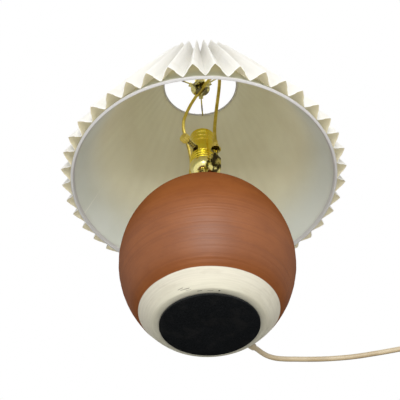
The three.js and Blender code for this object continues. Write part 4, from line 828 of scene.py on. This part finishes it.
thread_z = np.linspace(*STUD_THREAD, 90)
thread_radius = STUD_RADIUS - STUD_THREAD_DEPTH * (1 + np.sin(2 * np.pi * thread_z))
stud_outline = np.vstack([
    eased(STUD_BLOCK_OUTLINE, 0.7, closed=False),
    np.stack([thread_radius, thread_z], axis=1),
    [STUD_TIP],
])
stud_grid = spun(capped(turned(stud_outline, 64)), HARP_AZIMUTH)
channel_box = rounded_box(CHANNEL_HALF_WIDTH, CHANNEL_DEPTH, 0.1)
channel = [
    bar_along_x(CHANNEL_HALF_WIDTH, *CHANNEL_ENDS, CHANNEL_Z),
    capped(lofted([channel_box] * 2, CHANNEL_ENDS, (0, 0, CHANNEL_Z - CHANNEL_DEPTH))),
]
piece("stud_block", "harp_stud", stud_grid, dark, "harp",
      cuts=[spun(grid, HARP_AZIMUTH) for grid in channel])

# Ferrules
# Two drawn brass sleeves, wide at the foot over the saddle's tongue and close round the harp's leg above;
# they slide up the wire to let the harp off. Tan outside; their bores are painted dark, a painted shade
# for the shadow inside them.
FERRULE_LEVELS = [271.7, 273.06, 275.1, 279.52, 282.58, 288.7]
FERRULE_OUTER_RADII = [7.2, 5.87, 5.11, 4.464, 3.4, 3.4]
FERRULE_INNER_RADII = [6.4, 5.035, 4.255, 3.592, 2.5, 2.5]


def refinish_rows(made, grid, rows, finish):
    """Puts a second finish on the faces that start at some rows of a piece's grid."""
    made.data.materials.append(finish.material)
    face_row = np.arange(len(made.data.polygons)) // grid.shape[1]
    made.data.polygons.foreach_set("material_index", np.isin(face_row, list(rows)).astype(np.int32))


ferrule_outer, ferrule_inner = (flowing(np.stack([radii, FERRULE_LEVELS], axis=1), 8)
                                for radii in (FERRULE_OUTER_RADII, FERRULE_INNER_RADII))
ferrule_grid = turned(np.vstack([ferrule_outer, ferrule_inner[::-1]]), 56)
for side, which in ((1, "near"), (-1, "far")):
    at_leg = ferrule_grid + side * spun(np.array([HARP_RIGHT[0][0], 0, 0]), HARP_AZIMUTH)
    sleeve = piece(f"sleeve_{which}", f"ferrule_{which}", at_leg, tan, f"ferrule_{which}")
    # Painted shade: the faces inside the bore take the dark brass finish.
    refinish_rows(sleeve, ferrule_grid, range(len(ferrule_outer), len(ferrule_grid) - 1), dark)

# Spider of the shade
# A dark-plated hub plate with three ears rests on the stud block; three wire arms run level off the ears
# and then up to the top ring inside the liner.
HUB_Z = (448.2, 450.0)
HUB_RADIUS = 14.6
HUB_HOLE_RADIUS = 3.6
HUB_EDGE = 0.4
HUB_COLUMNS = 360
EAR_REACH = 19.0
EAR_HALF_WIDTH = 3.4
EAR_HALF_ANGLE = 1.2
ARM_AZIMUTHS = [math.radians(88 + 120 * k) for k in range(3)]
ARM_RADIUS = 1.2
ARM_START = 14.5
ARM_KNEE_SHARE = 0.55
SHADE_RADIUS = 174.0
SHADE_Z = 225.5
SHADE_HEIGHT = 232.0
SHADE_TOP_RADIUS = 57.5
RING_WIRE_RADIUS = 0.8
RING_INSET = 1.2
RING_LEVEL = -0.9
TRIM_INNER = -1.8
TRIM_OUTER = 0.9
TRIM_WALL = 0.4
TRIM_LEG = 4.0
TRIM_SHORT_LEG = 1.0

slant = math.hypot(SHADE_HEIGHT, SHADE_RADIUS - SHADE_TOP_RADIUS)
slant_sin = (SHADE_RADIUS - SHADE_TOP_RADIUS) / slant
slant_cos = SHADE_HEIGHT / slant


def on_shade(s, n):
    """Radius and height of a point s up the slant from the bottom edge and n out of the liner's inside."""
    s, n = np.broadcast_arrays(s, n)
    radius = SHADE_RADIUS - slant_sin * s + slant_cos * n
    return np.stack([radius, SHADE_Z + slant_cos * s + slant_sin * n], axis=-1)


hub_reach = np.full(HUB_COLUMNS, HUB_RADIUS)
for azimuth in ARM_AZIMUTHS:
    off = np.abs((circle(HUB_COLUMNS) - azimuth + np.pi) % (2 * np.pi) - np.pi)
    end_reach = EAR_REACH / np.cos(np.minimum(off, EAR_HALF_ANGLE))
    side_reach = EAR_HALF_WIDTH / np.maximum(np.sin(off), 1e-3)
    hub_reach = np.maximum(hub_reach, np.where(off < EAR_HALF_ANGLE, np.minimum(end_reach, side_reach), 0))
hub_low, hub_high = HUB_Z
hub_levels = [
    (HUB_HOLE_RADIUS, hub_low), (hub_reach - HUB_EDGE, hub_low), (hub_reach, hub_low + HUB_EDGE),
    (hub_reach, hub_high - HUB_EDGE), (hub_reach - HUB_EDGE, hub_high), (HUB_HOLE_RADIUS, hub_high),
]
piece("hub_plate", "spider_hub", turned(hub_levels, HUB_COLUMNS), dark, "shade", 30)

arm_end = on_shade(slant - TRIM_LEG, TRIM_INNER - ARM_RADIUS)[0]
arm_end_z = on_shade(slant - RING_INSET, RING_LEVEL)[1] - ARM_RADIUS
arm_z = hub_high + 0.3 + ARM_RADIUS
knee = ARM_START + ARM_KNEE_SHARE * (arm_end - ARM_START)
arm_line = flowing([
    (ARM_START, arm_z), ((ARM_START + knee) / 2, arm_z), (knee, arm_z),
    (arm_end - 2 * ARM_RADIUS, arm_end_z), (arm_end, arm_end_z),
], 10)
for k, azimuth in enumerate(ARM_AZIMUTHS, 1):
    arm_grid = spun(tube(arm_line, ARM_RADIUS, 16), azimuth)
    piece(f"spider_wire_{k}", f"spider_arm_{k}", arm_grid, dark, "shade")

enamel = speckled("white_enamelled_wire", (226, 222, 210), (196, 188, 170), (300, 4, 0.6), (0.0001, 0.3),
                  (0.6, 0.1), Roughness=0.4)
wire_section = arc(RING_WIRE_RADIUS, circle(14))
for name, s in (("top_ring", slant - RING_INSET), ("bottom_ring", RING_INSET)):
    hoop_grid = turned(on_shade(s, RING_LEVEL) + wire_section, 180)
    piece(f"{name}_hoop", f"{name}_wire", hoop_grid, enamel, "shade", 60)

# Liner of the shade
# A smooth cone of laminated card with a faint glued seam up its left side, greyed ivory inside from age.
# Its tone is painted light: cooler below and warmer in the near rim's shadow above. Faint painted shadows
# of the cover's pleats show through it as stripes, in patches, and the seam has a painted highlight that
# fades upward.
LINER_THICKNESS = 0.8
LINER_ROWS = 40
SEAM_AZIMUTH = math.radians(165)
PLEATS = 42
SHADE_FOOT = SHADE_Z / 1000

card = Finish("aged_ivory_card", Roughness=0.75, Specular_IOR_Level=0.25)
x, y, z = card.parts()
age = card.noise(9, 5, 0.6).above(0.52, 0.3)
# Painted light: the lower card is painted cooler and greyer, as in the cool light below the near rim's
# shadow, and the upper card warmer, as in that shadow.
lit_lower_card = card.mixed(age, (206, 210, 201), (199, 203, 191))
shaded_upper_card = card.mixed(age, (228, 225, 199), (220, 215, 188))
card_tone = card.mixed(z.above(SHADE_FOOT + 0.05, 0.07), lit_lower_card, shaded_upper_card)
# Painted shadows of the cover's pleats: faint darker stripes, one per pleat, in patches on the upper card.
azimuth = y.maths("ARCTAN2", y, x)
pleat_shadow_waves = azimuth.maths("SINE", azimuth * PLEATS)
patches = card.noise(11, 3, 0.6, z_share=0.4).above(0.5, 0.3)
painted_pleat_shadows = pleat_shadow_waves.above(0.1, 1.6) * patches * z.above(SHADE_FOOT + 0.06, 0.08)
card_tone = card.mixed(painted_pleat_shadows * 0.2, card_tone, (209, 204, 176))
# The glued seam, painted as a lighter line: a painted highlight along it that fades out upward into the
# painted shade.
across_seam = x * math.sin(SEAM_AZIMUTH) - y * math.cos(SEAM_AZIMUTH)
beside_seam = x * math.cos(SEAM_AZIMUTH) + y * math.sin(SEAM_AZIMUTH)
seam = (1.0 - abs(across_seam).above(0.0006, 0.0006)) * beside_seam.above(0.0, 0.001)
card_tone = card.mixed(seam * (1.0 - z.above(0.262, 0.07)) * 0.55, card_tone, (236, 234, 222))
card.set(Base_Color=card_tone)
card.bump(card.noise(700, 3, 0.6), 0.00015, 0.5)
liner_outline = np.vstack([
    on_shade(np.linspace(0, slant, LINER_ROWS), 0),
    on_shade(np.linspace(slant, 0, LINER_ROWS), LINER_THICKNESS),
])
piece("card_liner", "shade_liner", turned(liner_outline, 168), card, "shade")

# Trims
# White cotton tape rolled over each edge of the liner and its ring wire and glued there. Its inner leg is
# short at the top, by the spider's arms.
# The white tape is painted grey: painted shade, for the shadow it lies in at the rims.
tape = speckled("white_cotton_tape", (178, 177, 174), (194, 193, 191), (900, 3, 0.6), (0.0002, 0.6),
                Roughness=0.85, Specular_IOR_Level=0.2)
for name, edge, way, inner_leg in (("bottom", 0.0, 1, TRIM_LEG), ("top", slant, -1, TRIM_SHORT_LEG)):
    trim_profile = eased([
        (inner_leg, TRIM_INNER), (-0.3, TRIM_INNER), (-0.3, TRIM_OUTER), (TRIM_LEG, TRIM_OUTER),
        (TRIM_LEG, TRIM_OUTER + TRIM_WALL), (-0.9, TRIM_OUTER + TRIM_WALL), (-0.9, TRIM_INNER - TRIM_WALL),
        (inner_leg, TRIM_INNER - TRIM_WALL),
    ], 0.55)
    trim_grid = turned(on_shade(edge + way * trim_profile[:, 0], trim_profile[:, 1]), 252)
    piece(f"{name}_tape", f"{name}_trim", trim_grid, tape, "shade", 50)

# Accordion-pleated cover
# White laminated cloth, folded to and fro at one constant panel width, so that its pleats stand deep and
# narrow at the top of the cone and shallow and wide at the bottom. Slight unevenness from the hand.
PANEL_WIDTH = 19.8
FOLD_LEVEL = 2.0
FOLD_CLEARANCE = 0.3
FOLD_ROUNDING = 0.045
DEPTH_SHARE = 0.985
CLOTH_THICKNESS = 0.5
TOP_OVERHANG = 4.0
PLEAT_PHASE = math.radians(-2.1)
COLUMNS_PER_PLEAT = 22
COVER_ROWS = 44
LEAN_SPREAD, LEAN_CHANGE = 0.05, 0.03
STAND_SPREAD, STAND_CHANGE = 0.02, 0.02
CLOTH_SHOWS_THROUGH = 0.48
BACKING_SHOWS_THROUGH = 0.5


def pleat_depth(fold_radius):
    """Depth at which panels of constant width reach from inner fold to outer fold, by the cosine rule."""
    bend = 1 - math.cos(math.pi / PLEATS)
    half = fold_radius * slant_cos * bend
    return np.sqrt(half**2 - 2 * fold_radius**2 * bend + PANEL_WIDTH**2) - half


def by_pleat(spread):
    """A random share for each pleat, of a normal spread, at all the columns of that pleat."""
    return chance.normal(0, spread, PLEATS)[pleat_index]


cover_s = np.linspace(0, slant + TOP_OVERHANG, COVER_ROWS)[:, None]
which_pleat = np.arange(PLEATS * COLUMNS_PER_PLEAT)[None, :] / COLUMNS_PER_PLEAT
pleat_index = np.floor(which_pleat).astype(int) % PLEATS
zigzag = 1 - 2 * np.abs(which_pleat % 1 - 0.5)
outer_fold = 1 - np.sqrt((1 - zigzag) ** 2 + FOLD_ROUNDING**2) + FOLD_ROUNDING
inner_fold = np.sqrt(zigzag**2 + FOLD_ROUNDING**2) - FOLD_ROUNDING
pleat_share = np.where(zigzag > 0.5, outer_fold, inner_fold)
lean = by_pleat(LEAN_SPREAD) + by_pleat(LEAN_CHANGE) * cover_s / slant
stand = 1 + by_pleat(STAND_SPREAD) + by_pleat(STAND_CHANGE) * (cover_s / slant - 0.5)
wander = 0.03 * np.sin(cover_s / 61 + pleat_index * 1.7)
azimuth = PLEAT_PHASE + 2 * np.pi / PLEATS * (which_pleat + (lean + wander) * zigzag)
depth = pleat_depth(on_shade(cover_s, FOLD_LEVEL)[..., 0])
level_out = FOLD_LEVEL + FOLD_CLEARANCE + depth * pleat_share * stand * DEPTH_SHARE
radius, height = np.moveaxis(on_shade(cover_s, level_out), -1, 0)
centre_sheet = np.stack([radius * np.cos(azimuth), radius * np.sin(azimuth), height], axis=-1)
around_step = np.roll(centre_sheet, -1, axis=1) - np.roll(centre_sheet, 1, axis=1)
outward = unit(np.cross(around_step, np.gradient(centre_sheet, axis=0))) * CLOTH_THICKNESS / 2
cover_grid = np.concatenate([centre_sheet + outward, (centre_sheet - outward)[::-1]])

cloth = Finish("white_pleated_cloth", Roughness=0.82, Specular_IOR_Level=0.2)
cloth_tone = cloth.mixed(cloth.noise(12, 4, 0.6).above(0.58, 0.2), (247, 248, 250), (241, 241, 240))
cloth.set(Base_Color=cloth_tone)
cloth.blend("ShaderNodeBsdfTranslucent", CLOTH_SHOWS_THROUGH, Color=cloth_tone)
cloth.bump(cloth.noise(420, 4, 0.65), 0.00015, 0.5)
cover = piece("pleated_cloth", "pleated_cover", cover_grid, cloth, "shade", 50)
backing = speckled("ivory_cloth_backing", (228, 220, 190), (220, 212, 182), (420, 4, 0.65), (0.00015, 0.5),
                   Roughness=0.85, Specular_IOR_Level=0.15)
backing.blend("ShaderNodeBsdfTranslucent", BACKING_SHOWS_THROUGH, Color=paint(242, 235, 212))
refinish_rows(cover, cover_grid, range(COVER_ROWS, 2 * COVER_ROWS - 1), backing)

# Finial
# A knob turned from brass and polished, with a blind hole from below. It screws on the stud and clamps
# the spider.
FINIAL_OUTLINE = [
    (6.8, 450.3), (7.31, 451.85), (4.675, 454.64), (4.25, 458.98), (5.27, 461.15), (4.25, 462.7),
    (7.65, 465.8), (8.5, 469.52), (7.14, 474.48), (2.55, 478.2), (2.04, 480.37), (0.001, 481.3),
]
FINIAL_HOLE = [(0.001, 463.2), (3.4, 463.2), (3.4, 450.3)]

finial_outline = np.vstack([flowing(FINIAL_OUTLINE, 7), FINIAL_HOLE])
piece("turned_finial", "finial", turned(finial_outline, 72), polished, "finial")

# Cord bushing
# A moulded ivory plastic bushing pushed through the foot ring, its edge rounded where the cord leaves it.
# The inner cord runs from it up the pipe to the socket and keeps its CAD shape.
BUSHING_OUTLINE = [(3.3, 48.5), (4.2, 48.5), (4.2, 73.5), (3.9, 74.4), (3.6, 74.7), (3.3, 74.7)]

bushing_grid = spun(along_x(turned(BUSHING_OUTLINE, 48), BUSHING_Z), BUSHING_AZIMUTH)
piece("plastic_bushing", "cord_bushing", bushing_grid, vinyl)
refinish("inner_cord", vinyl)

# Tie round the coil
# A flat band of ivory vinyl, closed in a ring round both layers of the coiled cord. It keeps the coil
# together beside the lamp.
TIE_INNER = 22.3
TIE_OUTER = 50.0125
TIE_HEIGHT = 13.1
TIE_THICKNESS = 0.8
TIE_WIDTH = 10.0
TIE_CORNER = 3.0
TIE_AZIMUTH = math.radians(150)

tie_half = np.array([(TIE_OUTER - TIE_INNER) / 2, TIE_HEIGHT / 2])
outer_line = rounded_box(*(tie_half + TIE_THICKNESS), TIE_CORNER, 6)
inner_line = rounded_box(*tie_half, TIE_CORNER - TIE_THICKNESS, 6)
tie_sides = np.array([1, 1, -1, -1]) * TIE_WIDTH / 2
tie_centre = ((TIE_INNER + TIE_OUTER) / 2, 0, TIE_HEIGHT / 2 + TIE_THICKNESS)
tie_grid = lofted([inner_line, outer_line, outer_line, inner_line], tie_sides, tie_centre, axis=1)
tie_grid = spun(tie_grid, TIE_AZIMUTH, (*COIL_CENTRE, 0))
tie = piece("tie_band", "cord_tie", tie_grid, vinyl, crease=40)

# Plug
# A plug moulded in ivory vinyl on the cord's end, with a waisted grip, a grooved tapering relief and two
# flat nickel-plated blades.
RELIEF_LENGTH = 26.0
RELIEF_RADII = (4.1, 5.6)
RELIEF_GROOVES = [0.3, 0.5, 0.7]
RELIEF_GROOVE_DEPTH = 0.6
RELIEF_GROOVE_HALF_WIDTH = 0.55
PLUG_LENGTH = 27.0
PLUG_WIDTH = 21.0
PLUG_THICKNESS = 14.0
PLUG_CORNER = 4.0
PLUG_WAIST_SHARE = 0.62
PLUG_START_ROUND = 1.0
PLUG_END_ROUND = 1.4
BLADE_SIZE = (17.0, 1.5, 6.3)
BLADE_SPACING = 12.7
BLADE_TAPER = [(0, 0.0), (0.9, 0.0), (0.97, 0.25), (1.0, 0.55)]
CLEARANCE = 0.3

heading_azimuth = math.atan2(tail_heading[1], tail_heading[0])
relief_place = relief_start + CLEARANCE * tail_heading
plug_place = relief_place + (RELIEF_LENGTH + CLEARANCE) * tail_heading

relief_x = np.linspace(0, RELIEF_LENGTH, 105)
relief_radius = RELIEF_RADII[0] + (RELIEF_RADII[1] - RELIEF_RADII[0]) * relief_x / RELIEF_LENGTH
for share in RELIEF_GROOVES:
    from_groove = (relief_x - share * RELIEF_LENGTH - 0.6) / RELIEF_GROOVE_HALF_WIDTH
    relief_radius -= RELIEF_GROOVE_DEPTH * np.exp(-(from_groove**4))
relief_radius[0] -= 0.5
relief_tube = capped(turned(np.stack([relief_radius, relief_x], axis=1), 48))
relief_grid = spun(along_x(relief_tube, 0), heading_azimuth, relief_place)
relief = piece("grooved_relief", "plug_relief", relief_grid, vinyl)


def end_shrink(from_end, rounding):
    """How far a section shrinks near an end: a quarter circle of a radius, by the distance to the end."""
    return rounding - np.sqrt(np.maximum(rounding**2 - np.maximum(rounding - from_end, 0) ** 2, 0))


plug_x = np.linspace(0, PLUG_LENGTH, 55)
grip = smooth(np.clip(plug_x / (PLUG_LENGTH / 2), 0, 1))
plug_half = PLUG_WIDTH / 2 * (PLUG_WAIST_SHARE + (1 - PLUG_WAIST_SHARE) * grip)
shrinks = end_shrink(PLUG_LENGTH - plug_x, PLUG_END_ROUND) + end_shrink(plug_x, PLUG_START_ROUND)
plug_sections = [rounded_box(half - shrink, PLUG_THICKNESS / 2 - shrink, PLUG_CORNER, 6)
                 for half, shrink in zip(plug_half, shrinks)]
plug_grid = spun(capped(lofted(plug_sections, plug_x)), heading_azimuth, plug_place)
plug = piece("plug_moulding", "plug_body", plug_grid, vinyl, crease=40)

nickel = Finish("nickel_plate", Metallic=1.0)
rub = nickel.noise(260, 4, 0.6)
nickel.set(Base_Color=nickel.mixed(rub, (186, 182, 172), (214, 211, 204)), Roughness=rub * 0.3 + 0.14)
nickel.bump(rub, 0.00005, 0.3)
blade_length, blade_thickness, blade_width = BLADE_SIZE
blade_sections = [rounded_box((blade_thickness - shrink) / 2, blade_width / 2 - shrink, 0.15, 2)
                  for share, shrink in BLADE_TAPER]
blade_reaches = [share * blade_length for share, shrink in BLADE_TAPER]
for k, side in ((1, BLADE_SPACING / 2), (2, -BLADE_SPACING / 2)):
    blade_grid = capped(lofted(blade_sections, blade_reaches, (PLUG_LENGTH + CLEARANCE, side, 0)))
    blade_grid = spun(blade_grid, heading_azimuth, plug_place)
    piece(f"blade_{k}", f"plug_blade_{k}", blade_grid, nickel, crease=30)

# Stage and light
# A white studio whose floor keeps shadows and is clear from below. A large lamp stands in front, a small
# one by the camera, two low and one above; the world is brighter where it is seen than as a light.
WORLD_FILL = 0.6
FLOOR_SIZE = 6.0
LAMPS = [
    ("front", (0.05, -1.7, 0.1), 0.6, 17.5),
    ("beside_camera", (0.0, -1.83, -0.588), 0.25, 7.0),
    ("low", (0.0, -1.05, -0.85), 0.45, 2.2),
    ("under", (0.1, -0.2, -1.4), 1.0, 4.0),
    ("above", (0.0, -0.3, 1.7), 0.9, 6.2),
]
LOOK_AT = (0.0, 0.0, 0.25)

world = bpy.data.worlds.new("studio")
bpy.context.scene.world = world
sky = Tree(world)
camera_ray, glossy_ray, clear_ray = (sky.node("ShaderNodeLightPath", {}, f"Is {kind} Ray")
                                     for kind in ("Camera", "Glossy", "Transmission"))
seen = camera_ray.maths("MAXIMUM", camera_ray.maths("MAXIMUM", camera_ray, glossy_ray), clear_ray)
strength = sky.node("ShaderNodeMapRange", {"Value": seen, "To Min": WORLD_FILL, "To Max": 1.0})
sky.fill(sky.nodes["Background"].inputs["Color"], (1, 1, 1, 1))
sky.fill(sky.nodes["Background"].inputs["Strength"], strength)

bpy.ops.mesh.primitive_plane_add(size=FLOOR_SIZE)
floor = bpy.context.object
floor.name = "floor"
table = Finish("white_floor", Roughness=0.9, Base_Color=paint(255, 255, 255))
from_below = table.node("ShaderNodeNewGeometry", {}, "Backfacing")
shadow_ray = table.node("ShaderNodeLightPath", {}, "Is Shadow Ray")
table.blend("ShaderNodeBsdfTransparent", from_below.maths("MAXIMUM", from_below, shadow_ray))
floor.data.materials.append(table.material)

for name, place, size, power in LAMPS:
    light = added(name, bpy.data.lights.new(name, "AREA"))
    light.data.size = size
    light.data.energy = power
    light.location = place
    light.rotation_euler = (Vector(LOOK_AT) - Vector(place)).to_track_quat("-Z", "Y").to_euler()

bpy.context.scene.view_settings.view_transform = "Standard"
